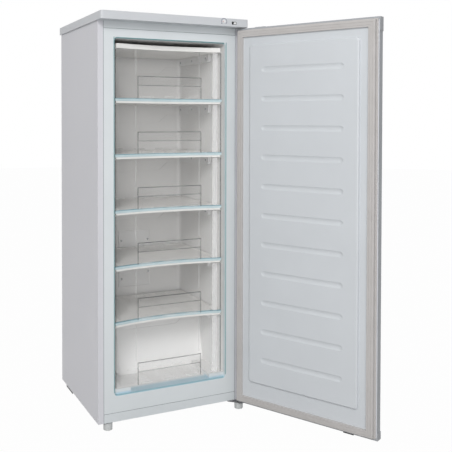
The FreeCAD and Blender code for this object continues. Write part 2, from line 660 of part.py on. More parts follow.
def thermostat_body():
    """Thermostat on the worktop's underside, its collar against the back of the fascia."""
    collar_y = FASCIA_Y + WORKTOP_WALL
    y0 = collar_y + WORKTOP_WALL
    z0 = CABINET_TOP + WORKTOP_UNDERSIDE
    half = THERMOSTAT_HALF
    body = box(KNOB_X - half, KNOB_X + half, y0, y0 + THERMOSTAT_DEPTH, z0, HEIGHT - WORKTOP_WALL)
    collar = rod(V(KNOB_X, collar_y, KNOB_Z), V(0, 1, 0), WORKTOP_WALL, THERMOSTAT_COLLAR)
    bore = rod(V(KNOB_X, collar_y - 1, KNOB_Z), V(0, 1, 0), SHAFT_LENGTH + 1 + KNOB_GAP, KNOB_SHAFT)
    return body.fuse(collar).cut(bore).removeSplitter()


def switch_pocket(gap):
    frame = SWITCH_FRAME - gap
    return box(SWITCH_LEFT + frame, SWITCH_RIGHT - frame, FASCIA_Y - 2,
               FASCIA_Y + WORKTOP_WALL + 1 + gap, SWITCH_Z - SWITCH_HALF_HEIGHT + frame,
               SWITCH_Z + SWITCH_HALF_HEIGHT - frame)


def freeze_switch_body():
    """Dark frame flush in the fascia, with the contact box behind it."""
    frame = box(SWITCH_LEFT, SWITCH_RIGHT, FASCIA_Y, FASCIA_Y + WORKTOP_WALL,
                SWITCH_Z - SWITCH_HALF_HEIGHT, SWITCH_Z + SWITCH_HALF_HEIGHT)
    z0 = CABINET_TOP + WORKTOP_UNDERSIDE
    flange = SWITCH_FLANGE
    contacts = box(SWITCH_LEFT - flange, SWITCH_RIGHT + flange, FASCIA_Y + WORKTOP_WALL,
                   FASCIA_Y + WORKTOP_WALL + SWITCH_DEPTH, z0, SWITCH_Z + SWITCH_HALF_HEIGHT + flange)
    return frame.fuse(contacts).cut(switch_pocket(0.0)).removeSplitter()


def freeze_switch_slider():
    pocket = switch_pocket(-SWITCH_GAP)
    limits = pocket.BoundBox
    length = limits.XLength - SWITCH_TRAVEL
    slider = box(limits.XMax - length, limits.XMax, FASCIA_Y - SWITCH_PROUD, limits.YMax,
                 limits.ZMin, limits.ZMax)
    rim = [e for e in slider.Edges if e.BoundBox.YMax < FASCIA_Y]
    return slider.makeFillet(SWITCH_PROUD / 2, rim)


# ---------------------------------------------------------------- evaporator
def evaporator_plate(top):
    """Two sheets with folded edges, open at the back where the tube comes out."""
    z0 = top - PLATE_THICK
    outer = plan_prism(arc_plan(PLATE_HALF, TRIM_WALL, PLATE_REAR), z0, top)
    inner = plan_prism(arc_plan(PLATE_HALF - PLATE_SKIN, TRIM_WALL + PLATE_SKIN, PLATE_REAR + 5),
                       z0 + PLATE_SKIN, top - PLATE_SKIN)
    return outer.cut(inner)


def shelf_body_top(top):
    """A trimmed shelf's sheet lies one trim wall under the shelf's top."""
    return top - TRIM_WALL / 2


def shelf_trim(top):
    front = arc_band(TRIM_HALF, 0.0, TRIM_WALL, top - TRIM_HEIGHT, top)
    leg = arc_band(TRIM_HALF, 0.0, TRIM_LEG, shelf_body_top(top), top)
    ends = box(PLATE_HALF, TRIM_HALF, 0, ARC_MIDDLE, top - TRIM_HEIGHT, top)
    ends = ends.fuse(ends.mirror(V(0, 0, 0), V(1, 0, 0)))
    ends = ends.common(arc_band(TRIM_HALF, 0.0, TRIM_LEG, top - TRIM_HEIGHT, top))
    return front.fuse([leg, ends]).removeSplitter()


def coil_z(top):
    return top - PLATE_THICK / 2


def evaporator_coil(top):
    """One flat serpentine inside a plate; both ends go straight back into the foam."""
    z = coil_z(top)
    left = -COIL_PITCH * (COIL_RUNS - 1) / 2
    points = [V(left, RISER_Y - RISER_BEND, z)]
    for run in range(COIL_RUNS):
        x = left + run * COIL_PITCH
        ends = [COIL_REAR, COIL_FRONT] if run % 2 == 0 else [COIL_FRONT, COIL_REAR]
        if run > 0:
            points.append(V(x, ends[0], z))
        if run < COIL_RUNS - 1:
            points.append(V(x, ends[1], z))
    points.append(V(-left, RISER_Y - RISER_BEND, z))
    return tube(points, COIL_TUBE, COIL_PITCH / 2)


def coil_end_x():
    return COIL_PITCH * (COIL_RUNS - 1) / 2


def evaporator_risers(grow):
    """Tubes in the foam that join the coils one after another, with the outlet to the niche."""
    risers = []
    side = 1
    tops = SHELVES
    for upper, lower in zip(tops, tops[1:]):
        x = side * coil_end_x()
        high = coil_z(upper if upper == PLATE_TOP_Z else shelf_body_top(upper))
        low = coil_z(shelf_body_top(lower))
        start = RISER_Y - RISER_BEND - grow
        points = [V(x, start, high), V(x, RISER_Y, high), V(x, RISER_Y, low), V(x, start, low)]
        risers.append(tube(points, COIL_TUBE + grow, RISER_BEND - grow))
        side = -side
    for x, top in ((-coil_end_x(), PLATE_TOP_Z), (side * coil_end_x(), shelf_body_top(tops[-1]))):
        z = coil_z(top)
        start = RISER_Y - RISER_BEND - grow
        x_down = math.copysign(abs(x) + PASS_SPREAD, x)
        points = [V(x, start, z), V(x, RISER_Y, z), V(x_down, RISER_Y + PASS_BACK, z),
                  V(x_down, RISER_Y + PASS_BACK, NICHE_TOP - PIPE_RADIUS)]
        risers.append(tube(points, PIPE_RADIUS + grow, PASS_BEND))
    return risers


def pipe_passes():
    side = -1 if len(SHELVES) % 2 == 0 else 1
    x = coil_end_x() + PASS_SPREAD
    return [(-x, RISER_Y + PASS_BACK), (side * x, RISER_Y + PASS_BACK)]


def coil_ends():
    """Where the tubes leave the plates: x and z of each end of each coil."""
    ends = []
    for top in SHELVES:
        z = coil_z(top if top == PLATE_TOP_Z else shelf_body_top(top))
        ends += [(-coil_end_x(), z), (coil_end_x(), z)]
    return ends


def riser_holes():
    return [rod(V(x, CAVITY_BACK - 1, z), V(0, 1, 0), LINER_WALL + 2, COIL_TUBE + RISER_BORE)
            for x, z in coil_ends()]


def evaporator_tubes():
    coils = [evaporator_coil(PLATE_TOP_Z)]
    coils += [evaporator_coil(shelf_body_top(top)) for top in SHELF_TOPS]
    return group(coils + evaporator_risers(0.0))


def bracket_bottom(index):
    """Lower edge of the bracket under plate number index."""
    if index < SHELF_COUNT:
        return SHELF_TOPS[index] + DRAWER_SPACE
    return shelf_bottom(index) - BRACKET_HEIGHT


def shelf_bottom(index):
    top = SHELVES[index]
    return (top if index == 0 else shelf_body_top(top)) - PLATE_THICK


def shelf_bracket(index):
    """Right-hand bracket: a block on the liner's wall, its lower front corner rounded."""
    z0 = bracket_bottom(index)
    z1 = shelf_bottom(index)
    block = box(BRACKET_INNER, HALF, BRACKET_FRONT, BRACKET_REAR, z0, z1)
    nose = [e for e in block.Edges if e.BoundBox.YMax < BRACKET_FRONT + 1 and e.BoundBox.ZMax < z0 + 1]
    return block.makeFillet(BRACKET_NOSE, nose).common(ROOM)


def interior_screws():
    screws = []
    for index in range(len(SHELVES)):
        z = (bracket_bottom(index) + shelf_bottom(index)) / 2
        for y in BRACKET_SCREWS:
            if z < HUMP_TOP + SCREW_HEAD and y > HUMP_FOOT:
                continue
            screws.append(screw(V(BRACKET_INNER, y, z), V(-1, 0, 0)))
            screws.append(screw(V(-BRACKET_INNER, y, z), V(1, 0, 0)))
    for x, z in COVER_SCREWS:
        screws.append(screw(V(x, CAVITY_BACK - COVER_THICK, z), V(0, -1, 0)))
    return group(screws)


def joint_cover():
    plate = centred_box(COVER_HALF, CAVITY_BACK - COVER_THICK, CAVITY_BACK, COVER_LOW, COVER_HIGH)
    rim = [e for e in plate.Edges if e.BoundBox.YMax < CAVITY_BACK - COVER_THICK / 2]
    plate = plate.makeChamfer(COVER_THICK / 3, rim)
    return plate


# ---------------------------------------------------------------- drawers
def tub(inset, z0, z1, floor, rim, rear_bottom, rear_top, front_inset):
    """A drawer's tub as a solid, from z0 to z1, narrower at the floor than at the rim."""
    wires = []
    for z in (z0, z1):
        share = (z - floor) / (rim - floor)
        half = DRAWER_BOTTOM_HALF + share * (DRAWER_TOP_HALF - DRAWER_BOTTOM_HALF) - inset
        rear = rear_bottom + share * (rear_top - rear_bottom) - inset
        radius = DRAWER_REAR_ROUND - inset
        k = radius * (1 - math.sqrt(0.5))
        setback = DRAWER_SETBACK + front_inset
        left = V(-half, arc_y(half, setback), z)
        right = V(half, arc_y(half, setback), z)
        side_end = V(half, rear - radius, z)
        rear_start = V(half - radius, rear, z)
        edges = [Part.Arc(left, V(0, ARC_MIDDLE + setback, z), right).toShape(),
                 Part.LineSegment(right, side_end).toShape(),
                 Part.Arc(side_end, V(half - k, rear - k, z), rear_start).toShape(),
                 Part.LineSegment(rear_start, V(-rear_start.x, rear, z)).toShape(),
                 Part.Arc(V(-rear_start.x, rear, z), V(-half + k, rear - k, z),
                          V(-half, rear - radius, z)).toShape(),
                 Part.LineSegment(V(-half, rear - radius, z), left).toShape()]
        wires.append(Part.Wire(edges))
    return Part.makeLoft(wires, True, True)


def scoop_cutter(rim, rear_top):
    """Lowers the middle of a drawer's rear wall, with rounded S-shaped ends."""
    low = rim - SCOOP_DEPTH
    high = rim + SCOOP_DEPTH / 10
    y = rear_top - 3 * DRAWER_REAR_ROUND
    corners = [V(-SCOOP_HALF_HIGH, y, high), V(-SCOOP_HALF_LOW, y, low),
               V(SCOOP_HALF_LOW, y, low), V(SCOOP_HALF_HIGH, y, high)]
    path = rounded_path(corners, SCOOP_ROUND)
    lid = Part.LineSegment(corners[-1], corners[0]).toShape()
    face = Part.Face(Part.Wire(path.Edges + [lid]))
    return face.extrude(V(0, 6 * DRAWER_REAR_ROUND, 0))


def drawer(floor, rim, front_top, rear_bottom, rear_top):
    """A moulded drawer: tub, taller concave front, grip plate with its finger pocket."""
    wall = DRAWER_WALL
    low = floor + DRAWER_LIFT
    outside = tub(0.0, low, rim, low, rim, rear_bottom, rear_top, 0.0)
    inside = tub(wall, low + wall, rim + 1, low, rim, rear_bottom, rear_top, wall)
    reach = ARC_MIDDLE + 4 * wall
    ledge = floor + GRIP_LEDGE
    bay = centred_box(GRIP_HALF, GRIP_Y, reach, low, ledge)
    bay_inside = centred_box(GRIP_HALF - wall, GRIP_Y + wall, reach + wall, low + wall, ledge - wall)
    front = arc_band(DRAWER_FRONT_HALF, DRAWER_SETBACK, wall, low, front_top)
    body = outside.fuse([bay, front]).cut(inside).cut(bay_inside)
    lip_top = floor + GRIP_TOP
    lip = centred_box(GRIP_HALF, GRIP_Y, GRIP_Y + wall, ledge - wall, lip_top)
    cheek = box(GRIP_HALF - wall, GRIP_HALF, GRIP_Y, arc_y(GRIP_HALF, DRAWER_SETBACK) + wall / 2,
                ledge - wall, lip_top)
    ribs = []
    for x in (-GRIP_HALF, GRIP_HALF):
        face = arc_y(GRIP_HALF, DRAWER_SETBACK)
        ribs.append(box(x - FRONT_RIB / 2, x + FRONT_RIB / 2, face - FRONT_RIB / 2,
                        face + FRONT_RIB / 2, lip_top - wall, front_top - 2 * wall))
    strips = []
    for number in (-1, 0, 1):
        x = number * STRIP_PITCH
        strips.append(box(x - STRIP_WIDTH / 2, x + STRIP_WIDTH / 2, STRIP_FRONT,
                          rear_bottom - STRIP_END_GAP, low + wall / 2, low + wall + STRIP_RAISE))
    extra = [lip, cheek, cheek.mirror(V(0, 0, 0), V(1, 0, 0))] + ribs + strips
    body = body.fuse(extra).cut(scoop_cutter(rim, rear_top))
    return body.removeSplitter()


def drawers():
    shapes = []
    for index, top in enumerate(SHELF_TOPS):
        rim = bracket_bottom(index) - DRAWER_GUIDE_GAP
        front_top = shelf_bottom(index) - FRONT_GAP
        shapes.append(drawer(top, rim, front_top, DRAWER_REAR_BOTTOM, DRAWER_REAR_TOP))
    last = SHELF_COUNT
    rim = bracket_bottom(last) - DRAWER_GUIDE_GAP
    front_top = shelf_bottom(last) - FRONT_GAP
    shapes.append(drawer(FLOOR_PAD_TOP, rim, front_top, LOW_DRAWER_REAR_BOTTOM,
                         LOW_DRAWER_REAR_TOP))
    return shapes


# ---------------------------------------------------------------- door, built closed
def door_plan(inset, inner, outer):
    """The door's plan outline, its two outer corners rounded."""
    half = DOOR_WIDTH / 2 - inset
    radius = DOOR_ROUND - inset
    k = radius * (1 - math.sqrt(0.5))
    left_start = V(-half, outer + radius, 0)
    left_end = V(-half + radius, outer, 0)
    right_start = V(half - radius, outer, 0)
    right_end = V(half, outer + radius, 0)
    edges = [Part.Arc(left_start, V(-half + k, outer + k, 0), left_end).toShape(),
             Part.LineSegment(left_end, right_start).toShape(),
             Part.Arc(right_start, V(half - k, outer + k, 0), right_end).toShape(),
             Part.LineSegment(right_end, V(half, inner, 0)).toShape(),
             Part.LineSegment(V(half, inner, 0), V(-half, inner, 0)).toShape(),
             Part.LineSegment(V(-half, inner, 0), left_start).toShape()]
    return Part.Wire(edges)


def door_block(inset, z0, z1):
    return plan_prism(door_plan(inset, DOOR_INNER, DOOR_OUTER + inset), z0, z1)


def door_skin():
    """Outer sheet wrapped round the front and the two sides, folded in behind the seal."""
    low = DOOR_BOTTOM + BOTTOM_CAP
    high = DOOR_TOP - TOP_CAP
    block = door_block(CAP_LIP, low, high)
    inside = plan_prism(door_plan(CAP_LIP + SHEET, DOOR_INNER - SHEET, DOOR_OUTER + CAP_LIP + SHEET),
                        low - 1, high + 1)
    opening = centred_box(DOOR_WIDTH / 2 - SKIN_RETURN, DOOR_INNER - 2, DOOR_INNER + 1, low - 1, high + 1)
    return block.cut(inside).cut(opening)


def frame_ring(edge, thick, y0, y1):
    """A rectangular ring along the door's edges, from edge to edge + thick."""
    half = DOOR_WIDTH / 2
    outer = centred_box(half - edge, y0, y1, DOOR_BOTTOM + edge, DOOR_TOP - edge)
    far = edge + thick
    return outer.cut(centred_box(half - far, y0 - 1, y1 + 1, DOOR_BOTTOM + far, DOOR_TOP - far))


def door_gasket():
    """Magnetic seal: a grooved bulb all round with a low outer lip."""
    half = DOOR_WIDTH / 2
    bulb = centred_box(half - SEAL_OUTER, DOOR_INNER, SEAL_TOP, DOOR_BOTTOM + SEAL_OUTER,
                       DOOR_TOP - SEAL_OUTER)
    brim = [e for e in bulb.Edges if e.BoundBox.YMin > SEAL_TOP - 0.01]
    bulb = bulb.makeFillet(SEAL_ROUND, brim)
    far = SEAL_INNER
    bulb = bulb.cut(centred_box(half - far, DOOR_INNER - 1, SEAL_TOP + 1, DOOR_BOTTOM + far,
                                DOOR_TOP - far))
    lip_y = DOOR_INNER + SEAL_LIP_HEIGHT
    lip = frame_ring(SEAL_LIP_OUTER, SEAL_OUTER - SEAL_LIP_OUTER, DOOR_INNER, lip_y)
    seal = bulb.fuse(lip)
    for distance in SEAL_GROOVES:
        seal = seal.cut(frame_ring(distance, SEAL_GROOVE, SEAL_TOP - SEAL_GROOVE, SEAL_TOP + 1))
    return seal.removeSplitter()


def liner_form(shrink):
    """The door liner's outer form, or with its wall as shrink, the hollow behind it."""
    half = DOOR_WIDTH / 2 - SEAL_INNER - shrink
    low = DOOR_BOTTOM + SEAL_INNER + shrink
    high = DOOR_TOP - SEAL_INNER - shrink
    border_y = DOOR_INNER + DOOR_LINER_BORDER - shrink
    border = centred_box(half, DOOR_INNER - SHEET - shrink, border_y, low, high)
    panel_half = DOOR_WIDTH / 2 - PANEL_FROM_EDGE - shrink
    base = rounded_rectangle(panel_half, PANEL_BOTTOM + shrink, PANEL_TOP - shrink,
                             PANEL_ROUND, border_y - 1)
    foot = rounded_rectangle(panel_half, PANEL_BOTTOM + shrink, PANEL_TOP - shrink,
                             PANEL_ROUND, border_y)
    slope = PANEL_EDGE / 2
    knee = rounded_rectangle(panel_half - slope / 2, PANEL_BOTTOM + shrink + slope / 2,
                             PANEL_TOP - shrink - slope / 2, PANEL_ROUND, border_y + PANEL_RISE * 0.7)
    head = rounded_rectangle(panel_half - PANEL_EDGE, PANEL_BOTTOM + shrink + PANEL_EDGE,
                             PANEL_TOP - shrink - PANEL_EDGE, PANEL_ROUND, border_y + PANEL_RISE)
    raised = Part.makeLoft([base, foot, knee, head], True, True)
    return border.fuse(raised).removeSplitter()


def groove_cutter(z, grow):
    """A long bar with rounded ends, mostly above the panel, whose underside cuts a groove."""
    face_y = DOOR_INNER + DOOR_LINER_BORDER + PANEL_RISE
    radius = GROOVE_RADIUS + grow
    bend = GROOVE_END_RADIUS + grow
    straight = GROOVE_HALF_LENGTH - GROOVE_TAPER
    drop = bend - radius
    reach = math.sqrt(bend ** 2 - drop ** 2)
    half_angle = math.asin(reach / bend) / 2
    over = straight + bend * math.sin(half_angle)
    rise = bend * math.cos(half_angle) - drop
    left = Part.Arc(V(-straight - reach, 0, 0), V(-over, rise, 0), V(-straight, radius, 0)).toShape()
    top = Part.LineSegment(V(-straight, radius, 0), V(straight, radius, 0)).toShape()
    right = Part.Arc(V(straight, radius, 0), V(over, rise, 0), V(straight + reach, 0, 0)).toShape()
    axis = Part.LineSegment(V(straight + reach, 0, 0), V(-straight - reach, 0, 0)).toShape()
    bar = Part.Face(Part.Wire([left, top, right, axis])).revolve(V(0, 0, 0), V(1, 0, 0), 360)
    bar.translate(V(0, face_y + GROOVE_RADIUS - GROOVE_DEPTH, z))
    return bar


def door_liner():
    shell = liner_form(0.0)
    hollow = liner_form(DOOR_LINER_WALL)
    for number in range(GROOVE_COUNT):
        z = GROOVE_FIRST + number * GROOVE_PITCH
        shell = shell.cut(groove_cutter(z, 0.0))
        hollow = hollow.cut(groove_cutter(z, DOOR_LINER_WALL))
    edge = SEAL_INNER - SKIN_RETURN + SHEET
    flange = frame_ring(SKIN_RETURN, edge + DOOR_LINER_WALL, DOOR_INNER - SHEET, DOOR_INNER)
    return shell.fuse(flange).cut(hollow).removeSplitter()


def door_foam():
    low = DOOR_BOTTOM + BOTTOM_CAP
    high = DOOR_TOP - TOP_CAP
    inset = CAP_LIP + SHEET
    block = plan_prism(door_plan(inset, DOOR_INNER - SHEET, DOOR_OUTER + inset), low, high)
    block = block.fuse(liner_form(DOOR_LINER_WALL))
    for number in range(GROOVE_COUNT):
        z = GROOVE_FIRST + number * GROOVE_PITCH
        block = block.cut(groove_cutter(z, DOOR_LINER_WALL))
    for z0 in (DOOR_BOTTOM, DOOR_TOP - BUSH_LENGTH):
        block = block.cut(rod(V(HINGE_X, HINGE_Y, z0), Z_AXIS, BUSH_LENGTH, BUSH_RADIUS))
    return block.removeSplitter()


def skirt(z0, z1):
    """The part of an end cap that wraps over the skin at both ends."""
    wrap = door_block(0.0, z0, z1).cut(door_block(CAP_LIP, z0 - 1, z1 + 1))
    middle = centred_box(DOOR_WIDTH / 2 - SKIRT_WIDTH, DOOR_OUTER - 1, 0, z0 - 1, z1 + 1)
    return wrap.cut(middle)


def door_cap_top():
    low = DOOR_TOP - TOP_CAP
    cap = door_block(0.0, low, DOOR_TOP).fuse(skirt(DOOR_TOP - TOP_SKIRT, low))
    side = DOOR_WIDTH / 2
    bar = box(side - STOP_FAR, side - STOP_NEAR, DOOR_INNER - STOP_DEEP, DOOR_INNER,
              low, DOOR_TOP + STOP_RISE)
    bush = rod(V(HINGE_X, HINGE_Y, low - 1), Z_AXIS, TOP_CAP + 2, BUSH_RADIUS)
    return cap.fuse(bar).removeSplitter().cut(bush)


def door_cap_bottom():
    high = DOOR_BOTTOM + BOTTOM_CAP
    cap = door_block(0.0, DOOR_BOTTOM, high).fuse(skirt(high, DOOR_BOTTOM + BOTTOM_SKIRT))
    bush = rod(V(HINGE_X, HINGE_Y, DOOR_BOTTOM - 1), Z_AXIS, BOTTOM_CAP + 2, BUSH_RADIUS)
    return cap.removeSplitter().cut(bush)


def door_pad():
    side = DOOR_WIDTH / 2
    pad = box(side - PAD_FAR, side - PAD_NEAR, DOOR_INNER - PAD_DEEP, DOOR_INNER,
              DOOR_BOTTOM - PAD_HEIGHT, DOOR_BOTTOM)
    low = [e for e in pad.Edges if e.BoundBox.ZMax < DOOR_BOTTOM - PAD_HEIGHT / 2]
    return pad.makeFillet(PAD_HEIGHT / 4, low)


def hinge_bushes():
    bore = PIN_RADIUS + PIN_CLEARANCE
    bushes = []
    collar_z = CABINET_BOTTOM + COLLAR_GAP
    collar = rod(V(HINGE_X, HINGE_Y, collar_z), Z_AXIS, DOOR_BOTTOM - collar_z, COLLAR_RADIUS)
    for z0 in (DOOR_BOTTOM, DOOR_TOP - BUSH_LENGTH):
        ring = rod(V(HINGE_X, HINGE_Y, z0), Z_AXIS, BUSH_LENGTH, BUSH_RADIUS)
        if z0 == DOOR_BOTTOM:
            ring = ring.fuse(collar).removeSplitter()
        bushes.append(ring.cut(rod(V(HINGE_X, HINGE_Y, 0), Z_AXIS, HEIGHT, bore)))
    return group(bushes)


def open_door(shape):
    """Turns a door piece about the hinge axis from closed to where the photograph has it."""
    turned = shape.copy()
    turned.rotate(HINGE_AXIS, Z_AXIS, DOOR_OPEN)
    return turned


# ---------------------------------------------------------------- hinges and feet
def hinge_outline(left, rear, z0, thick, nose):
    """A flat plate from the cabinet out to a round nose about the hinge axis."""
    plate = box(left, HALF - SHEET, 0, rear, z0, z0 + thick)
    arm = polygon([V(left, 0, z0), V(HINGE_X - nose, HINGE_Y, z0), V(HINGE_X + nose, HINGE_Y, z0),
                   V(HALF - SHEET, 0, z0)]).extrude(V(0, 0, thick))
    round_nose = rod(V(HINGE_X, HINGE_Y, z0), Z_AXIS, thick, nose)
    return plate.fuse([arm, round_nose]).removeSplitter()


def top_hinge_outline(z0):
    return hinge_outline(TOP_PLATE_LEFT, TOP_PLATE_REAR, z0, HINGE_PLATE, TOP_NOSE)


def top_hinge_bracket():
    plate = top_hinge_outline(CABINET_TOP)
    return plate.cut(rod(V(HINGE_X, HINGE_Y, 0), Z_AXIS, HEIGHT, PIN_RADIUS))


def bottom_hinge_bracket():
    """Flat plate screwed under the cabinet; it carries the door's pin and the right foot."""
    plate = hinge_outline(LOW_PLATE_LEFT, LOW_PLATE_REAR, LOW_PLATE_Z, LOW_PLATE, LOW_NOSE)
    foot_x, foot_y = RIGHT_FOOT
    pad = rod(V(foot_x, foot_y, LOW_PLATE_Z), Z_AXIS, LOW_PLATE, FOOT_RADIUS)
    bracket = plate.fuse(pad).removeSplitter()
    bracket = bracket.cut(rod(V(HINGE_X, HINGE_Y, 0), Z_AXIS, HEIGHT, PIN_RADIUS))
    return bracket.cut(rod(V(foot_x, foot_y, 0), Z_AXIS, HEIGHT, STUD_RADIUS + STUD_CLEARANCE))


def hinge_pins():
    low = rod(V(HINGE_X, HINGE_Y, LOW_PLATE_Z), Z_AXIS, DOOR_BOTTOM + PIN_DEPTH - LOW_PLATE_Z, PIN_RADIUS)
    high = rod(V(HINGE_X, HINGE_Y, DOOR_TOP - PIN_DEPTH), Z_AXIS,
               CABINET_TOP + HINGE_PLATE - DOOR_TOP + PIN_DEPTH, PIN_RADIUS)
    return group([low, high])


def cabinet_screws():
    """Screws of both hinge plates and, at the back, of the worktop."""
    edge = 2.5 * SCREW_HEAD
    back_y = CABINET_DEPTH + WORKTOP_REAR
    back_z = CABINET_TOP + WORKTOP_THICK / 2
    screws = [screw(V(x, back_y, back_z), V(0, 1, 0)) for x in (-WORKTOP_SCREW_X, WORKTOP_SCREW_X)]
    for x in (TOP_PLATE_LEFT + edge, HALF - 2 * edge):
        screws.append(screw(V(x, TOP_PLATE_REAR - edge, CABINET_TOP + HINGE_PLATE), Z_AXIS))
    for x in (LOW_PLATE_LEFT + edge, HALF - 2 * edge):
        screws.append(screw(V(x, LOW_PLATE_REAR - edge, LOW_PLATE_Z), V(0, 0, -1)))
    return group(screws)


def levelling_foot(place, stud_top):
    x, y = place
    pad = rod(V(x, y, 0), Z_AXIS, FOOT_HEIGHT, FOOT_RADIUS)
    brim = [e for e in pad.Edges if len(e.Vertexes) == 1]
    pad = pad.makeChamfer(FOOT_RADIUS / 15, brim)
    stud = rod(V(x, y, FOOT_HEIGHT), Z_AXIS, stud_top - FOOT_HEIGHT, STUD_RADIUS)
    return pad.fuse(stud).removeSplitter()


def rear_roller(side):
    x = side * ROLLER_X - ROLLER_WIDTH / 2
    wheel = rod(V(x, ROLLER_Y, ROLLER_RADIUS), V(1, 0, 0), ROLLER_WIDTH, ROLLER_RADIUS)
    wheel = wheel.makeChamfer(ROLLER_RADIUS / 12, [e for e in wheel.Edges if len(e.Vertexes) == 1])
    bore = rod(V(x - 1, ROLLER_Y, ROLLER_RADIUS), V(1, 0, 0), ROLLER_WIDTH + 2,
               AXLE_RADIUS + AXLE_CLEARANCE)
    return wheel.cut(bore)


def roller_bracket(side):
    """Folded sheet under the compressor rail with a cheek on each side of the roller."""
    inner = ROLLER_WIDTH / 2 + ROLLER_SIDE_GAP
    outer = inner + BRACKET_SHEET
    centre = side * ROLLER_X
    y0 = ROLLER_Y - ROLLER_RADIUS
    y1 = ROLLER_Y + ROLLER_RADIUS
    web = box(centre - outer, centre + outer, y0, y1, RAIL_Z - BRACKET_SHEET, RAIL_Z)
    cheeks = []
    for x in (centre - outer, centre + inner):
        cheek = polygon([V(x, y0, RAIL_Z), V(x, ROLLER_Y - AXLE_RADIUS * 2, ROLLER_RADIUS - AXLE_RADIUS * 2),
                         V(x, ROLLER_Y + AXLE_RADIUS * 2, ROLLER_RADIUS - AXLE_RADIUS * 2),
                         V(x, y1, RAIL_Z)])
        cheeks.append(cheek.extrude(V(BRACKET_SHEET, 0, 0)))
    axle = rod(V(centre - outer - 1, ROLLER_Y, ROLLER_RADIUS), V(1, 0, 0), 2 * outer + 2, AXLE_RADIUS)
    return web.fuse(cheeks).removeSplitter().cut(axle)


def roller_axle(side):
    outer = ROLLER_WIDTH / 2 + ROLLER_SIDE_GAP + BRACKET_SHEET
    start = V(side * ROLLER_X - outer, ROLLER_Y, ROLLER_RADIUS)
    return rod(start, V(1, 0, 0), 2 * outer, AXLE_RADIUS)


# ---------------------------------------------------------------- cooling machine
def compressor_rail():
    """Cross plate at the rear that carries the compressor and the rollers."""
    plate = centred_box(INSIDE, RAIL_FRONT, RAIL_REAR, RAIL_Z, RAIL_Z + RAIL_THICK)
    skirts = []
    for side in (-1, 1):
        x0 = side * (INSIDE - RAIL_THICK / 2) - RAIL_THICK / 2
        skirts.append(box(x0, x0 + RAIL_THICK, RAIL_FRONT, RAIL_SKIRT_REAR,
                          RAIL_Z - RAIL_SKIRT, RAIL_Z + RAIL_THICK))
    return plate.fuse(skirts).removeSplitter()


def compressor():
    """Welded steel shell: lower bowl, weld band and dome, on two cross legs."""
    centre = V(COMPRESSOR_X, COMPRESSOR_Y, SHELL_Z)
    body = rod(centre, Z_AXIS, COMPRESSOR_HEIGHT, COMPRESSOR_RADIUS)
    top = [e for e in body.Edges if e.BoundBox.ZMin > SHELL_Z + COMPRESSOR_HEIGHT / 2]
    body = body.makeFillet(COMPRESSOR_RADIUS * 0.55, [e for e in top if len(e.Vertexes) == 1])
    bottom = [e for e in body.Edges if e.BoundBox.ZMax < SHELL_Z + 0.01]
    body = body.makeFillet(COMPRESSOR_RADIUS * 0.3, bottom)
    band = rod(centre + Z_AXIS * (COMPRESSOR_HEIGHT * 0.52), Z_AXIS, LEG_THICK * 2,
               COMPRESSOR_RADIUS + LEG_THICK / 2)
    legs = []
    for side in (-1, 1):
        x = COMPRESSOR_X + side * GROMMET_X
        reach = GROMMET_Y + LEG_WIDTH / 2
        leg = box(x - LEG_WIDTH / 2, x + LEG_WIDTH / 2, COMPRESSOR_Y - reach, COMPRESSOR_Y + reach,
                  LEG_Z, SHELL_Z)
        legs.append(leg)
    bridge = box(COMPRESSOR_X - GROMMET_X, COMPRESSOR_X + GROMMET_X, COMPRESSOR_Y - LEG_WIDTH,
                 COMPRESSOR_Y + LEG_WIDTH, LEG_Z, SHELL_Z + LEG_THICK)
    return body.fuse([band, bridge] + legs).removeSplitter()


def compressor_grommets():
    pieces = []
    for sx in (-1, 1):
        for sy in (-1, 1):
            foot = V(COMPRESSOR_X + sx * GROMMET_X, COMPRESSOR_Y + sy * GROMMET_Y, RAIL_Z + RAIL_THICK)
            body = rod(foot, Z_AXIS, GROMMET_HEIGHT, GROMMET_RADIUS)
            waist = Part.makeTorus(GROMMET_RADIUS * 1.1, GROMMET_HEIGHT / 5,
                                   foot + Z_AXIS * (GROMMET_HEIGHT / 2), Z_AXIS)
            pieces.append(body.cut(waist))
    return group(pieces)


def relay_cover():
    """Terminal cover clipped to the compressor's left flank."""
    x1 = COMPRESSOR_X - COMPRESSOR_RADIUS * 0.8
    z0 = SHELL_Z + COMPRESSOR_HEIGHT * 0.14
    cover = box(x1 - RELAY_DEPTH, x1, COMPRESSOR_Y - RELAY_WIDTH / 2, COMPRESSOR_Y + RELAY_WIDTH / 2,
                z0, z0 + RELAY_HEIGHT)
    outer = [e for e in cover.Edges if e.BoundBox.XMax < x1 - RELAY_DEPTH / 2]
    cover = cover.makeFillet(RELAY_DEPTH / 8, outer)
    return cover.cut(compressor())


def drier_place():
    return V(-CONDENSER_HALF + CONDENSER_BEND, CONDENSER_Y, CONDENSER_TAIL)


def filter_drier():
    """Copper can that hangs under the condenser's lower end, with necked ends."""
    top = drier_place()
    radius = DRIER_RADIUS
    neck = DRIER_LENGTH / 9
    narrow = PIPE_RADIUS + 1
    body = rod(top - Z_AXIS * (DRIER_LENGTH - neck), Z_AXIS, DRIER_LENGTH - 2 * neck, radius)
    upper = Part.makeCone(radius, narrow, neck, top - Z_AXIS * neck, Z_AXIS)
    lower = Part.makeCone(narrow, radius, neck, top - Z_AXIS * DRIER_LENGTH, Z_AXIS)
    return body.fuse([upper, lower]).removeSplitter()


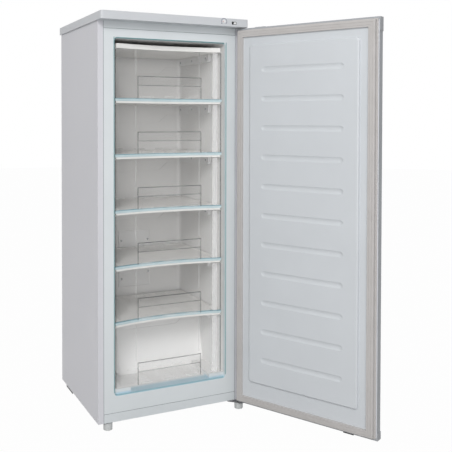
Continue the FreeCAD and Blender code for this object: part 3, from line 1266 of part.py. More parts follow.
def refrigerant_pipes():
    """Discharge line to the condenser, suction line from the foam, capillary to the foam."""
    shoulder = SHELL_Z + COMPRESSOR_HEIGHT * 0.3
    right = COMPRESSOR_X + COMPRESSOR_RADIUS
    end_x = CONDENSER_HALF
    discharge = tube([V(right, COMPRESSOR_Y, shoulder), V(right + 34, COMPRESSOR_Y, shoulder),
                      V(right + 34, COMPRESSOR_Y, shoulder + 62),
                      V(end_x, CONDENSER_Y, shoulder + 62), V(end_x, CONDENSER_Y, CONDENSER_TAIL)],
                     PIPE_RADIUS, 4 * PIPE_RADIUS)
    (left_x, pass_y), (right_x, other_y) = pipe_passes()
    low = shoulder + 20
    back = COMPRESSOR_Y + COMPRESSOR_RADIUS
    suction = tube([V(COMPRESSOR_X, back, shoulder), V(COMPRESSOR_X, back + 18, shoulder),
                    V(COMPRESSOR_X, back + 18, low + 70), V(right_x, other_y, low + 70),
                    V(right_x, other_y, NICHE_TOP - PIPE_RADIUS)],
                   PIPE_RADIUS, 2.4 * PIPE_RADIUS)
    drier_end = drier_place() - Z_AXIS * DRIER_LENGTH
    turn = drier_end.z - 22
    capillary = tube([drier_end, V(drier_end.x, drier_end.y, turn), V(left_x, pass_y, turn),
                      V(left_x, pass_y, NICHE_TOP - PIPE_RADIUS)],
                     PIPE_RADIUS / 2, 2.4 * PIPE_RADIUS)
    return group([discharge, suction, capillary])


def condenser_tube():
    """Serpentine behind the back panel, with both tails down into the niche."""
    y = CONDENSER_Y
    half = CONDENSER_HALF - 2 * CONDENSER_BEND
    points = [V(CONDENSER_HALF, y, CONDENSER_TAIL), V(CONDENSER_HALF, y, CONDENSER_TOP)]
    for run in range(CONDENSER_RUNS):
        z = CONDENSER_TOP - run * CONDENSER_PITCH
        start = half if run % 2 == 0 else -half
        if run > 0:
            points.append(V(start, y, z))
        if run < CONDENSER_RUNS - 1:
            points.append(V(-start, y, z))
    tail = drier_place()
    points += [V(tail.x, y, CONDENSER_TOP - (CONDENSER_RUNS - 1) * CONDENSER_PITCH), tail]
    return tube(points, CONDENSER_TUBE, CONDENSER_BEND)


def condenser_wires():
    """Upright wires on both faces of the serpentine."""
    low = CONDENSER_TOP - (CONDENSER_RUNS - 1) * CONDENSER_PITCH - CONDENSER_BEND
    high = CONDENSER_TOP + CONDENSER_BEND
    offset = CONDENSER_TUBE + WIRE_RADIUS + WIRE_GAP
    wires = []
    for number in range(WIRE_COUNT):
        x = (number - (WIRE_COUNT - 1) / 2) * WIRE_PITCH
        for y in (CONDENSER_Y - offset, CONDENSER_Y + offset):
            wires.append(rod(V(x, y, low), Z_AXIS, high - low, WIRE_RADIUS))
    return group(wires)


def condenser_brackets():
    """Four moulded clips that hold the serpentine off the back panel."""
    clips = []
    reach = CONDENSER_Y + CONDENSER_TUBE + CLIP_WALL
    for run in CLIP_RUNS:
        z = CONDENSER_TOP - run * CONDENSER_PITCH
        for x in (-CLIP_X, CLIP_X):
            foot = box(x - CLIP_WIDTH, x + CLIP_WIDTH, CABINET_DEPTH, CABINET_DEPTH + CLIP_WALL,
                       z - 2 * CLIP_WIDTH, z + 2 * CLIP_WIDTH)
            arm = box(x - CLIP_WIDTH / 2, x + CLIP_WIDTH / 2, CABINET_DEPTH, reach,
                      z - CLIP_WIDTH / 2, z + CLIP_WIDTH / 2)
            bore = rod(V(x - CLIP_WIDTH, CONDENSER_Y, z), V(1, 0, 0), 2 * CLIP_WIDTH,
                       CONDENSER_TUBE + WIRE_GAP)
            clips.append(foot.fuse(arm).removeSplitter().cut(bore))
    return group(clips)


def power_inlet():
    """Gland where the mains lead would enter the compressor rail's left end."""
    z = RAIL_Z + RAIL_THICK
    front = RAIL_REAR - GLAND_BASE
    centre = z + GLAND_RISE
    foot = box(GLAND_X - GLAND_BASE / 2, GLAND_X + GLAND_BASE / 2, front, RAIL_REAR, z, z + GLAND_FOOT)
    post = box(GLAND_X - GLAND_RADIUS, GLAND_X + GLAND_RADIUS, front, RAIL_REAR, z, centre)
    collar = rod(V(GLAND_X, front, centre), V(0, 1, 0), GLAND_LENGTH, GLAND_RADIUS)
    bore = rod(V(GLAND_X, front + GLAND_FOOT, centre), V(0, 1, 0), GLAND_LENGTH, GLAND_BORE)
    return foot.fuse([post, collar]).removeSplitter().cut(bore)


# ---------------------------------------------------------------- build
def build():
    right_panel = side_panel()
    mirror_plane = (V(0, 0, 0), V(1, 0, 0))
    cabinet = {
        "side_panel_right": right_panel,
        "side_panel_left": right_panel.mirror(*mirror_plane),
        "back_panel": back_panel(),
        "top_sheet": top_sheet(),
        "kick_rail": kick_rail(),
        "base_pan": base_pan(),
        "niche_panel": niche_panel(),
        "inner_liner": inner_liner(),
        "cabinet_foam": cabinet_foam(),
        "worktop": worktop(),
        "thermostat_body": thermostat_body(),
        "thermostat_knob": thermostat_knob(),
        "freeze_switch_body": freeze_switch_body(),
        "freeze_switch_slider": freeze_switch_slider(),
        "evaporator_plate_top": evaporator_plate(PLATE_TOP_Z),
        "shelf_trims": group([shelf_trim(top) for top in SHELF_TOPS]),
        "evaporator_tubes": evaporator_tubes(),
        "joint_cover": joint_cover(),
        "interior_screws": interior_screws(),
    }
    for number, top in enumerate(SHELF_TOPS, start=1):
        cabinet["evaporator_shelf_%d" % number] = evaporator_plate(shelf_body_top(top))
    brackets = group([shelf_bracket(index) for index in range(len(SHELVES))])
    cabinet["shelf_brackets_right"] = brackets
    cabinet["shelf_brackets_left"] = brackets.mirror(*mirror_plane)
    for number, shape in enumerate(drawers(), start=1):
        cabinet["drawer_%d" % number] = shape

    machine = {
        "compressor_rail": compressor_rail(),
        "compressor": compressor(),
        "compressor_grommets": compressor_grommets(),
        "relay_cover": relay_cover(),
        "filter_drier": filter_drier(),
        "refrigerant_pipes": refrigerant_pipes(),
        "condenser_tube": condenser_tube(),
        "condenser_wires": condenser_wires(),
        "condenser_brackets": condenser_brackets(),
        "power_inlet": power_inlet(),
    }

    carriers = {
        "top_hinge_bracket": top_hinge_bracket(),
        "bottom_hinge_bracket": bottom_hinge_bracket(),
        "hinge_pins": hinge_pins(),
        "cabinet_screws": cabinet_screws(),
        "front_foot_left": levelling_foot(LEFT_FOOT, BASE_Z),
        "front_foot_right": levelling_foot(RIGHT_FOOT, CABINET_BOTTOM),
        "rear_roller_left": rear_roller(-1),
        "rear_roller_right": rear_roller(1),
        "roller_brackets": group([roller_bracket(-1), roller_bracket(1)]),
        "roller_axles": group([roller_axle(-1), roller_axle(1)]),
    }

    door = {
        "door_skin": door_skin(),
        "door_foam": door_foam(),
        "door_liner": door_liner(),
        "door_gasket": door_gasket(),
        "door_cap_top": door_cap_top(),
        "door_cap_bottom": door_cap_bottom(),
        "door_pad": door_pad(),
        "hinge_bushes": hinge_bushes(),
    }

    for name, shape in {**cabinet, **machine, **carriers}.items():
        export(name, shape)
    for name, shape in door.items():
        export(name, open_door(shape))


build()
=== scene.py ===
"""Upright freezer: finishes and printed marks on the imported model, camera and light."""

import logging
import math
from collections.abc import Iterable
from dataclasses import dataclass
from enum import Enum

import bmesh
import bpy
from mathutils import Matrix, Vector


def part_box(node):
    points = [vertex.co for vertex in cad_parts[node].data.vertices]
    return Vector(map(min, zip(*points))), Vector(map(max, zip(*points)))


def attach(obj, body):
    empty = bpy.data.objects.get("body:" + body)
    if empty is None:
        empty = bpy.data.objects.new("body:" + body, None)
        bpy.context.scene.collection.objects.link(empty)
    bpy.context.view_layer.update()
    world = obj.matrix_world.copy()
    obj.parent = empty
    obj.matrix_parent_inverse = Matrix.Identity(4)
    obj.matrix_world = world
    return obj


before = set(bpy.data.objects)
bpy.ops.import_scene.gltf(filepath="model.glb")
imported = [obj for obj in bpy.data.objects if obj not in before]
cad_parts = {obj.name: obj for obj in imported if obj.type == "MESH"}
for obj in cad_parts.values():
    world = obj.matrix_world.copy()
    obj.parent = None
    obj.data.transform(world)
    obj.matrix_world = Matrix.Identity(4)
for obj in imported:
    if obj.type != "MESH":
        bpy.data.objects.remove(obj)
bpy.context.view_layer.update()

MM = 0.001
FAR = 1.0    # metres, past any point that a mask of a finish has to reach
Triple = tuple[float, float, float]
Colour = Triple
Socket = bpy.types.NodeSocket
log = logging.getLogger("freezer")


def linear(colour: Colour) -> tuple[float, float, float, float]:
    """Turn a display colour into the scene-linear value that shaders take, by the sRGB curve.

    Args:
        colour: red, green and blue as they show on screen, 0 to 1.

    Returns:
        The linear colour with an alpha of 1.
    """
    parts = [c / 12.92 if c <= 0.04045 else ((c + 0.055) / 1.055) ** 2.4 for c in colour]
    return parts[0], parts[1], parts[2], 1.0


# ------------------------------------------------------------------ shader building
class ShaderDesk:
    """Adds and links nodes in one new material."""

    def __init__(self, name: str) -> None:
        """Start a material with a Principled shader and its output."""
        self.material = bpy.data.materials.new(name)
        self.material.use_nodes = True
        self.tree = self.material.node_tree
        self.shader = self.tree.nodes["Principled BSDF"]
        self.output = self.tree.nodes["Material Output"]
        self.place = self.tree.nodes.new("ShaderNodeTexCoord")

    def add(self, kind: str, **inputs: object) -> bpy.types.Node:
        """Add a node and set its sockets.

        Args:
            kind: the node's type without its ShaderNode prefix.
            **inputs: socket values by name, with spaces written as underscores.

        Returns:
            The new node.
        """
        node = self.tree.nodes.new("ShaderNode" + kind)
        for key, value in inputs.items():
            node.inputs[key.replace("_", " ")].default_value = value
        return node

    def link(self, source: Socket, target: Socket) -> None:
        """Link two sockets."""
        self.tree.links.new(source, target)

    def noise(self, scale: float, detail: float = 2.0, stretch: Triple = (1, 1, 1)) -> Socket:
        """Noise on the piece's own coordinates.

        Args:
            scale: features per metre.
            detail: octaves.
            stretch: scale along X, Y and Z before the noise.

        Returns:
            The socket with the noise value, 0 to 1.
        """
        mapping = self.add("Mapping", Scale=stretch)
        self.link(self.place.outputs["Object"], mapping.inputs["Vector"])
        texture = self.add("TexNoise", Scale=scale, Detail=detail)
        self.link(mapping.outputs["Vector"], texture.inputs["Vector"])
        return texture.outputs["Fac"]

    def spread(self, value: Socket, low: float, high: float,
               start: float = 0.3, stop: float = 0.7) -> Socket:
        """Map a value from start..stop to low..high, clamped.

        Args:
            value: the socket to map.
            low: the result at start.
            high: the result at stop.
            start: the value where the change begins.
            stop: the value where it ends.

        Returns:
            The socket with the result.
        """
        node = self.add("MapRange", From_Min=start, From_Max=stop, To_Min=low, To_Max=high)
        self.link(value, node.inputs["Value"])
        return node.outputs["Result"]

    def blend_colours(self, factor: Socket, first: Colour | Socket,
                      second: Colour) -> Socket:
        """Mix two colours.

        Args:
            factor: 0 for the first, 1 for the second.
            first: a display colour, or a socket that holds one.
            second: a display colour.

        Returns:
            The socket with the mixed colour.
        """
        mix = self.tree.nodes.new("ShaderNodeMix")
        mix.data_type = "RGBA"
        self.link(factor, mix.inputs["Factor"])
        if isinstance(first, tuple):
            mix.inputs["A"].default_value = linear(first)
        else:
            self.link(first, mix.inputs["A"])
        mix.inputs["B"].default_value = linear(second)
        return mix.outputs["Result"]

    def math(self, operation: str, first: Socket,
             second: Socket | float) -> Socket:
        """Take one arithmetic step.

        Args:
            operation: its name in a Math node.
            first: the first operand.
            second: the second one, a socket or a number.

        Returns:
            The socket with the result.
        """
        node = self.tree.nodes.new("ShaderNodeMath")
        node.operation = operation
        self.link(first, node.inputs[0])
        if isinstance(second, (int, float)):
            node.inputs[1].default_value = second
        else:
            self.link(second, node.inputs[1])
        return node.outputs["Value"]

    def absolute(self, value: Socket) -> Socket:
        """Return a value without its sign."""
        return self.math("ABSOLUTE", value, 0.0)

    def split(self, vector: Socket) -> tuple[Socket, Socket, Socket]:
        """Split a vector.

        Args:
            vector: the socket with the vector.

        Returns:
            The sockets with its X, Y and Z.
        """
        parts = self.add("SeparateXYZ")
        self.link(vector, parts.inputs["Vector"])
        return parts.outputs["X"], parts.outputs["Y"], parts.outputs["Z"]

    def place_parts(self) -> tuple[Socket, Socket, Socket]:
        """Return X, Y and Z of the shaded point in the piece's own coordinates."""
        return self.split(self.place.outputs["Object"])

    def paint(self, colour: Socket) -> None:
        """Give the shader its colour."""
        self.link(colour, self.shader.inputs["Base Color"])

    def painted(self) -> Socket:
        """Return the colour that the shader has so far."""
        return self.shader.inputs["Base Color"].links[0].from_socket

    def band(self, value: Socket, low: float, high: float) -> Socket:
        """Mark a stretch of a value.

        Args:
            value: the socket to test.
            low: start of the stretch.
            high: its end.

        Returns:
            The socket with 1 inside the stretch, else 0.
        """
        node = self.tree.nodes.new("ShaderNodeMath")
        node.operation = "COMPARE"
        self.link(value, node.inputs[0])
        node.inputs[1].default_value = (low + high) / 2
        node.inputs[2].default_value = (high - low) / 2
        return node.outputs["Value"]

    def bump(self, height: Socket, depth: float,
             below: Socket | None = None) -> Socket:
        """Relief from a height value.

        Args:
            height: the relief, 0 to 1.
            depth: its depth in metres.
            below: the normal of a coarser relief that this one lies on.

        Returns:
            The socket with the bumped normal.
        """
        node = self.add("Bump", Strength=1.0, Distance=depth)
        self.link(height, node.inputs["Height"])
        if below is not None:
            self.link(below, node.inputs["Normal"])
        return node.outputs["Normal"]


@dataclass(frozen=True)
class FrontSeamShade:
    """Painted shade in the joint lines of the cabinet's front.

    Attributes:
        across: the upright joints, left and right of the middle.
        low: height of the joint above the kick rail.
        high: height of the joint below the top rail.
        half: half width of a line.
        reach: depth behind the front face where a line ends.
        colour: of the line of painted shade.
    """

    across: float
    low: float
    high: float
    half: float = 0.0007
    reach: float = 0.0007
    colour: Colour = (0.50, 0.52, 0.54)

    def mask(self, desk: ShaderDesk) -> Socket:
        """Mark the joint lines where shade is painted.

        Args:
            desk: the desk of the finish that shows them.

        Returns:
            The socket with 1 on the lines, else 0.
        """
        across, depth, height = desk.place_parts()
        beside = desk.absolute(across)
        upright = desk.band(beside, self.across - self.half, self.across + self.half)
        low = desk.band(height, self.low - self.half, self.low + self.half)
        high = desk.band(height, self.high - self.half, self.high + self.half)
        level = desk.math("MULTIPLY", desk.math("MAXIMUM", low, high), desk.band(beside, -FAR, self.across))
        lines = desk.math("MAXIMUM", upright, level)
        return desk.math("MULTIPLY", lines, desk.band(depth, -FAR, self.reach))


SEAM_SHADE = FrontSeamShade(across=0.250, low=0.059, high=1.368)


@dataclass(frozen=True)
class Coated:
    """A smooth sprayed, moulded or rolled surface with faint unevenness.

    Attributes:
        name: of the material.
        colour: on screen.
        shade: how much its patches are darker and lighter.
        rough: roughness.
        rough_spread: how much it varies.
        grain: fine texture, features per metre.
        grain_depth: its relief in metres.
        wave: patches and waves, features per metre.
        wave_depth: their relief in metres.
        metallic: share of metal.
        coat: clear coat.
        specular: strength of the plain reflection.
        seam_shade: whether it shows the painted shade in the joint lines of the front.
    """

    name: str
    colour: Colour
    shade: float = 0.02
    rough: float = 0.35
    rough_spread: float = 0.06
    grain: float = 900.0
    grain_depth: float = 0.00002
    wave: float = 9.0
    wave_depth: float = 0.0
    metallic: float = 0.0
    coat: float = 0.0
    specular: float = 0.5
    seam_shade: bool = False

    def desk(self) -> ShaderDesk:
        """Build the finish and hand back its desk, for finishes that add to it."""
        desk = ShaderDesk(self.name)
        darker = tuple(c * (1 - self.shade) for c in self.colour)
        lighter = tuple(min(1.0, c * (1 + self.shade)) for c in self.colour)
        cloud = desk.noise(self.wave, detail=3.0)
        colour = desk.blend_colours(desk.spread(cloud, 0.0, 1.0), darker, lighter)
        # The joint lines of the front get painted shade.
        if self.seam_shade:
            colour = desk.blend_colours(SEAM_SHADE.mask(desk), colour, SEAM_SHADE.colour)
        desk.paint(colour)
        desk.shader.inputs["Specular IOR Level"].default_value = self.specular
        fine = desk.noise(self.grain)
        low, high = self.rough - self.rough_spread, self.rough + self.rough_spread
        desk.link(desk.spread(cloud, low, high), desk.shader.inputs["Roughness"])
        relief = None
        if self.wave_depth > 0:
            relief = desk.bump(desk.noise(self.wave * 2, detail=1.0), self.wave_depth)
        desk.link(desk.bump(fine, self.grain_depth, relief), desk.shader.inputs["Normal"])
        desk.shader.inputs["Metallic"].default_value = self.metallic
        desk.shader.inputs["Coat Weight"].default_value = self.coat
        return desk

    def material(self) -> bpy.types.Material:
        """Build the finish as a material."""
        return self.desk().material


@dataclass(frozen=True)
class ShadedLinerSheet(Coated):
    """Vacuum-formed sheet with painted blue-green shade on the lip round the opening and on the sill, and
    painted light inside the cavity.

    Attributes:
        tint: colour of the painted shade on the lip.
        inside: lighter colour of the cavity behind the lip, painted light.
        inside_start: depth where it begins.
        inside_full: depth where it is full.
        sill: colour of the painted shade on the sill under the lowest drawer.
        lip_start: depth where the tint begins, behind the front face.
        lip_full: depth where it is full.
        lip_fade: depth where it starts to fade.
        lip_end: depth where it has faded.
        right_wall: X beyond which the lip faces the light and looks pale.
        right_share: tint that is left there.
        wall_blend: width over which it fades there.
        sill_top: height below which the sill's colour shows.
        sill_blend: height over which it fades in.
        sill_near: depth where the sill's colour starts to fade.
        sill_depth: how far back the sill's colour reaches.
        sill_share: tint of the lip that is left on the sill.
        mouth_half: half width of the opening at the front face.
        mouth_top: height of the opening's upper edge.
        rim: width of the line of painted shade round the opening.
        rim_inside: how far that line reaches into the opening.
        rim_share: strength of its tint.
    """

    tint: Colour = (0.40, 0.60, 0.62)
    inside: Colour = (0.925, 0.923, 0.92)
    inside_start: float = 0.010
    inside_full: float = 0.015
    sill: Colour = (0.66, 0.79, 0.85)
    lip_start: float = 0.0003
    lip_full: float = 0.001
    lip_fade: float = 0.00375
    lip_end: float = 0.0075
    right_wall: float = 0.2045
    right_share: float = 0.22
    wall_blend: float = 0.001
    sill_top: float = 0.128
    sill_blend: float = 0.01
    sill_near: float = 0.036
    sill_depth: float = 0.06
    sill_share: float = 0.45
    mouth_half: float = 0.212
    mouth_top: float = 1.34
    rim: float = 0.0024
    rim_inside: float = 0.001
    rim_share: float = 0.8

    def material(self) -> bpy.types.Material:
        """Build the finish, with painted shade and painted light by depth behind the front face."""
        desk = self.desk()
        across, depth, height = desk.place_parts()
        front = desk.painted()
        # Lighter inside the cavity than on the front face: painted light.
        inside_light = desk.spread(depth, 0.0, 1.0, self.inside_start, self.inside_full)
        plain = desk.blend_colours(inside_light, front, self.inside)
        # Painted shade on the sill under the lowest drawer.
        low = desk.spread(height, 1.0, 0.0, self.sill_top - self.sill_blend, self.sill_top)
        behind = desk.spread(depth, 0.0, 1.0, self.lip_start, self.lip_full)
        near = desk.spread(depth, 1.0, 0.0, self.sill_near, self.sill_depth)
        sill_shade_mask = desk.math("MULTIPLY", desk.math("MULTIPLY", low, near), behind)
        with_sill_shade = desk.blend_colours(sill_shade_mask, plain, self.sill)
        # Painted blue-green shade on the lip, paler on the right wall that faces the light.
        fall = desk.spread(depth, 1.0, 0.0, self.lip_fade, self.lip_end)
        lit_wall_share = desk.spread(across, 1.0, self.right_share, self.right_wall, self.right_wall + self.wall_blend)
        lip = desk.math("MULTIPLY", desk.math("MULTIPLY", behind, fall), lit_wall_share)
        lip = desk.math("MULTIPLY", lip, desk.spread(low, 1.0, self.sill_share, 0.0, 1.0))
        # A line of painted shade round the opening.
        beside = desk.absolute(across)
        edge = desk.band(beside, self.mouth_half - self.rim_inside, self.mouth_half + self.rim)
        edge = desk.math("MULTIPLY", edge, desk.band(height, self.sill_top, self.mouth_top))
        edge = desk.math("MULTIPLY", edge, desk.band(depth, -FAR, self.lip_full))
        lip = desk.math("MAXIMUM", lip, desk.math("MULTIPLY", edge, self.rim_share))
        desk.paint(desk.blend_colours(lip, with_sill_shade, self.tint))
        return desk.material


@dataclass(frozen=True)
class DoorPaint(Coated):
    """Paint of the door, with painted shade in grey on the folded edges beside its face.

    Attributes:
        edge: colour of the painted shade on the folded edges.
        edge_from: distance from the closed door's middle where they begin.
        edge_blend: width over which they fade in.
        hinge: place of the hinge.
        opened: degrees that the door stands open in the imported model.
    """

    edge: Colour = (0.68, 0.695, 0.71)
    edge_from: float = 0.2722
    edge_blend: float = 0.0002
    hinge: Triple = (0.2625, -0.025, 0.0)
    opened: float = 117.0

    def material(self) -> bpy.types.Material:
        """Build the finish, with its place turned back to that of the closed door."""
        desk = self.desk()
        shut = Matrix.Rotation(math.radians(-self.opened), 3, "Z")
        centre = Vector(self.hinge)
        mapping = desk.add("Mapping", Location=centre - shut @ centre,
                           Rotation=(0.0, 0.0, math.radians(-self.opened)))
        desk.link(desk.place.outputs["Object"], mapping.inputs["Vector"])
        beside = desk.absolute(desk.split(mapping.outputs["Vector"])[0])
        # The folded edges get painted shade.
        folded = desk.spread(beside, 0.0, 1.0, self.edge_from, self.edge_from + self.edge_blend)
        plain = desk.painted()
        desk.paint(desk.blend_colours(folded, plain, self.edge))
        return desk.material


@dataclass(frozen=True)
class TintedTrim(Coated):
    """Extruded shelf edge, white with a blue-green upper bead.

    Attributes:
        tint: colour of the bead.
        first: height of the lowest shelf's top.
        slack: how far below it a bead already counts to the next shelf.
        pitch: distance between shelves.
        bead: height of the bead, as a share of the pitch.
        bead_full: share of the bead's height with the full tint.
        top_share: tint on the upward face.
        flat_from: upward share of the normal where a face starts to count as flat.
        flat_full: the share where it fully does.
    """

    tint: Colour = (0.40, 0.59, 0.65)
    first: float = 0.362
    slack: float = 0.0002
    pitch: float = 0.193
    bead: float = 0.014
    bead_full: float = 0.4
    top_share: float = 0.45
    flat_from: float = 0.6
    flat_full: float = 0.9

    def material(self) -> bpy.types.Material:
        """Build the finish, tinted by height below each shelf's top."""
        desk = self.desk()
        height = desk.place_parts()[2]
        steps = desk.math("DIVIDE", desk.math("SUBTRACT", height, self.first - self.slack), self.pitch)
        phase = desk.math("FRACT", steps, 0.0)
        bead = desk.spread(phase, 0.0, 1.0, 1.0 - self.bead, 1.0 - self.bead * self.bead_full)
        upward = desk.split(desk.add("NewGeometry").outputs["Normal"])[2]
        flat = desk.spread(upward, 0.0, self.top_share, self.flat_from, self.flat_full)
        plain = desk.painted()
        tinted = desk.blend_colours(desk.math("MAXIMUM", bead, flat), plain, self.tint)
        desk.paint(tinted)
        return desk.material


@dataclass(frozen=True)
class ClearMoulding:
    """Clear moulded polystyrene, with painted shade on its cut edges and a painted reflection beside the
    front's corner.

    Attributes:
        floor: height of the drawer's underside.
        rear: depth of its rear end.
        reflection_colour: colour of the painted reflection.
        face_alpha: cover of a face seen square on.
        edge_alpha: cover of a face seen edge-on.
        line_alpha: cover of the cut edges.
        reflection_alpha: cover of the painted reflection.
        front_share: how strong the front's lines are against the scoop's.
        grip_half: half width of the grip plate.
        grip_top: its top above the floor.
        ledge: the ledge behind it, above the floor.
        grip_depth: how far behind the cabinet's face the plate ends.
        line: width of the lines of painted shade along the edges.
        front_half: half width of the drawer's front.
        front_depth: how far behind the cabinet's face the front ends.
        painted_light: middle of the painted reflection strip.
        reflection_half: its half width.
        rib_half: half width of the ribs above the grip plate's ends.
        scoop_half: half width of the scoop in the rear wall.
        rear_wall: depth of the zone that holds the rear wall.
        strip_pitch: distance between the raised strips in the floor.
        strip_half: their half width.
        strip_level: height below which they lie.
        strip_light: painted light on the floor strips against that on the corner.
        reflection_blend: width over which the painted reflection fades.
        rib_light: painted light on the ribs against that on the corner.
        rib_blend: width over which a rib fades.
        rib_gap: gap between the grip plate's top and the ribs.
        slack: how far a mask reaches past the faces that it marks.
        cut_facing: share of Y in a cut edge's normal, at most.
        line_full: strength of the mask at which a line is fully dark.
        index: index of refraction.
        glance_from: where faces start to cover more, 0 square on, 1 edge-on.
        shade: how much lighter the flow marks are.
        rough_spread: how much the roughness varies, as a share of it.
        flow: flow marks per metre.
        flow_stretch: their scale along X, Y and Z.
        flow_depth: their relief in metres.
    """

    name: str
    floor: float
    rear: float
    colour: Colour = (0.93, 0.93, 0.925)
    edge_shade_colour: Colour = (0.24, 0.26, 0.27)
    reflection_colour: Colour = (0.96, 0.96, 0.96)
    face_alpha: float = 0.02
    edge_alpha: float = 0.2
    line_alpha: float = 0.6
    reflection_alpha: float = 0.3
    front_share: float = 0.8
    rough: float = 0.14
    flow: float = 14.0
    grip_half: float = 0.1215
    grip_top: float = 0.077
    ledge: float = 0.046
    grip_depth: float = 0.0195
    line: float = 0.0026
    front_half: float = 0.202
    front_depth: float = 0.05
    painted_light: float = 0.180
    reflection_half: float = 0.0105
    rib_half: float = 0.0016
    scoop_half: float = 0.165
    rear_wall: float = 0.022
    strip_pitch: float = 0.088
    strip_half: float = 0.022
    strip_level: float = 0.008
    strip_light: float = 0.42
    reflection_blend: float = 0.003
    rib_light: float = 0.45
    rib_blend: float = 0.0003
    rib_gap: float = 0.001
    slack: float = 0.0004
    cut_facing: float = 0.5
    line_full: float = 0.4
    index: float = 1.57
    glance_from: float = 0.65
    shade: float = 0.04
    rough_spread: float = 0.3
    flow_stretch: Triple = (1.0, 1.0, 0.4)
    flow_depth: float = 0.0006

    def edge_shade_mask(self, desk: ShaderDesk) -> Socket:
        """Mark the edges of the grip plate, of the front's ends and of the scoop, where shade is painted.

        Args:
            desk: the desk of this finish.

        Returns:
            The socket with the mask.
        """
        across, depth, height = desk.place_parts()
        beside = desk.absolute(across)
        above = desk.math("SUBTRACT", height, self.floor)
        grip_side, grip_edge = self.grip_half + self.slack, self.grip_top + self.slack
        ends = desk.band(beside, self.grip_half - self.line, grip_side)
        ends = desk.math("MULTIPLY", ends, desk.band(above, 0.0, grip_edge))
        inside = desk.band(beside, -FAR, grip_side)
        top = desk.band(above, self.grip_top - self.line, grip_edge)
        shelf = desk.band(above, self.ledge - self.line, self.ledge)
        levels = desk.math("MULTIPLY", desk.math("MAXIMUM", top, shelf), inside)
        grip = desk.math("MAXIMUM", ends, levels)
        grip = desk.math("MULTIPLY", grip, desk.band(depth, 0.0, self.grip_depth))
        front = desk.band(beside, self.front_half - self.line, self.front_half + self.slack)
        front = desk.math("MULTIPLY", front, desk.band(depth, 0.0, self.front_depth))
        facing = desk.split(desk.add("NewGeometry").outputs["True Normal"])[1]
        cut = desk.band(facing, -self.cut_facing, self.cut_facing)
        cut = desk.math("MULTIPLY", cut, desk.band(beside, -FAR, self.scoop_half))
        cut = desk.math("MULTIPLY", cut, desk.band(above, self.ledge, FAR))
        cut = desk.math("MULTIPLY", cut, desk.band(depth, self.rear - self.rear_wall, FAR))
        front_lines = desk.math("MULTIPLY", desk.math("MAXIMUM", grip, front), self.front_share)
        return desk.math("MAXIMUM", front_lines, cut)

    def painted_light_mask(self, desk: ShaderDesk) -> Socket:
        """Mark the painted reflection strip, and the painted light on the ribs and on the raised strips in
        the floor.

        Args:
            desk: the desk of this finish.

        Returns:
            The socket with the mask.
        """
        across, depth, height = desk.place_parts()
        beside = desk.absolute(across)
        # A painted reflection strip beside the front's right corner, then painted light on the ribs and the
        # floor strips.
        off = desk.absolute(desk.math("SUBTRACT", across, self.painted_light))
        strip = desk.spread(off, 1.0, 0.0, self.reflection_half - self.reflection_blend, self.reflection_half)
        off = desk.absolute(desk.math("SUBTRACT", beside, self.grip_half))
        rib = desk.spread(off, self.rib_light, 0.0, self.rib_half - self.rib_blend, self.rib_half)
        above = desk.math("SUBTRACT", height, self.floor)
        rib = desk.math("MULTIPLY", rib, desk.band(above, self.grip_top + self.rib_gap, FAR))
        both = desk.math("MAXIMUM", strip, rib)
        both = desk.math("MULTIPLY", both, desk.band(depth, 0.0, self.front_depth))
        shifted = desk.math("ADD", across, self.strip_pitch / 2)
        from_strip = desk.math("SUBTRACT", across, desk.math("SNAP", shifted, self.strip_pitch))
        raised = desk.spread(desk.absolute(from_strip), self.strip_light, 0.0,
                             self.strip_half - self.slack, self.strip_half)
        raised = desk.math("MULTIPLY", raised, desk.band(above, -FAR, self.strip_level))
        raised = desk.math("MULTIPLY", raised, desk.band(beside, -FAR, self.strip_pitch + self.strip_half))
        return desk.math("MAXIMUM", both, raised)

    def material(self) -> bpy.types.Material:
        """Build the finish."""
        desk = ShaderDesk(self.name)
        shader = desk.shader
        mask = self.edge_shade_mask(desk)
        painted_light = self.painted_light_mask(desk)
        cloud = desk.noise(self.flow, detail=3.0, stretch=self.flow_stretch)
        lighter = tuple(min(1.0, c * (1 + self.shade)) for c in self.colour)
        body = desk.blend_colours(desk.spread(cloud, 0.0, 1.0), self.colour, lighter)
        # The painted reflection and the painted light on ribs and floor strips.
        body = desk.blend_colours(painted_light, body, self.reflection_colour)
        # Painted shade along the cut edges.
        dark = desk.spread(mask, 0.0, 1.0, 0.0, self.line_full)
        desk.paint(desk.blend_colours(dark, body, self.edge_shade_colour))
        shader.inputs["IOR"].default_value = self.index
        low, high = self.rough * (1 - self.rough_spread), self.rough * (1 + self.rough_spread)
        desk.link(desk.spread(cloud, low, high), shader.inputs["Roughness"])
        facing = desk.add("LayerWeight", Blend=0.5).outputs["Facing"]
        glance = desk.spread(facing, self.face_alpha, self.edge_alpha, self.glance_from, 1.0)
        cover = desk.math("MAXIMUM", glance, desk.math("MULTIPLY", painted_light, self.reflection_alpha))
        cover = desk.math("MAXIMUM", cover, desk.math("MULTIPLY", mask, self.line_alpha))
        desk.link(cover, shader.inputs["Alpha"])
        desk.link(desk.bump(cloud, self.flow_depth), shader.inputs["Normal"])
        return desk.material


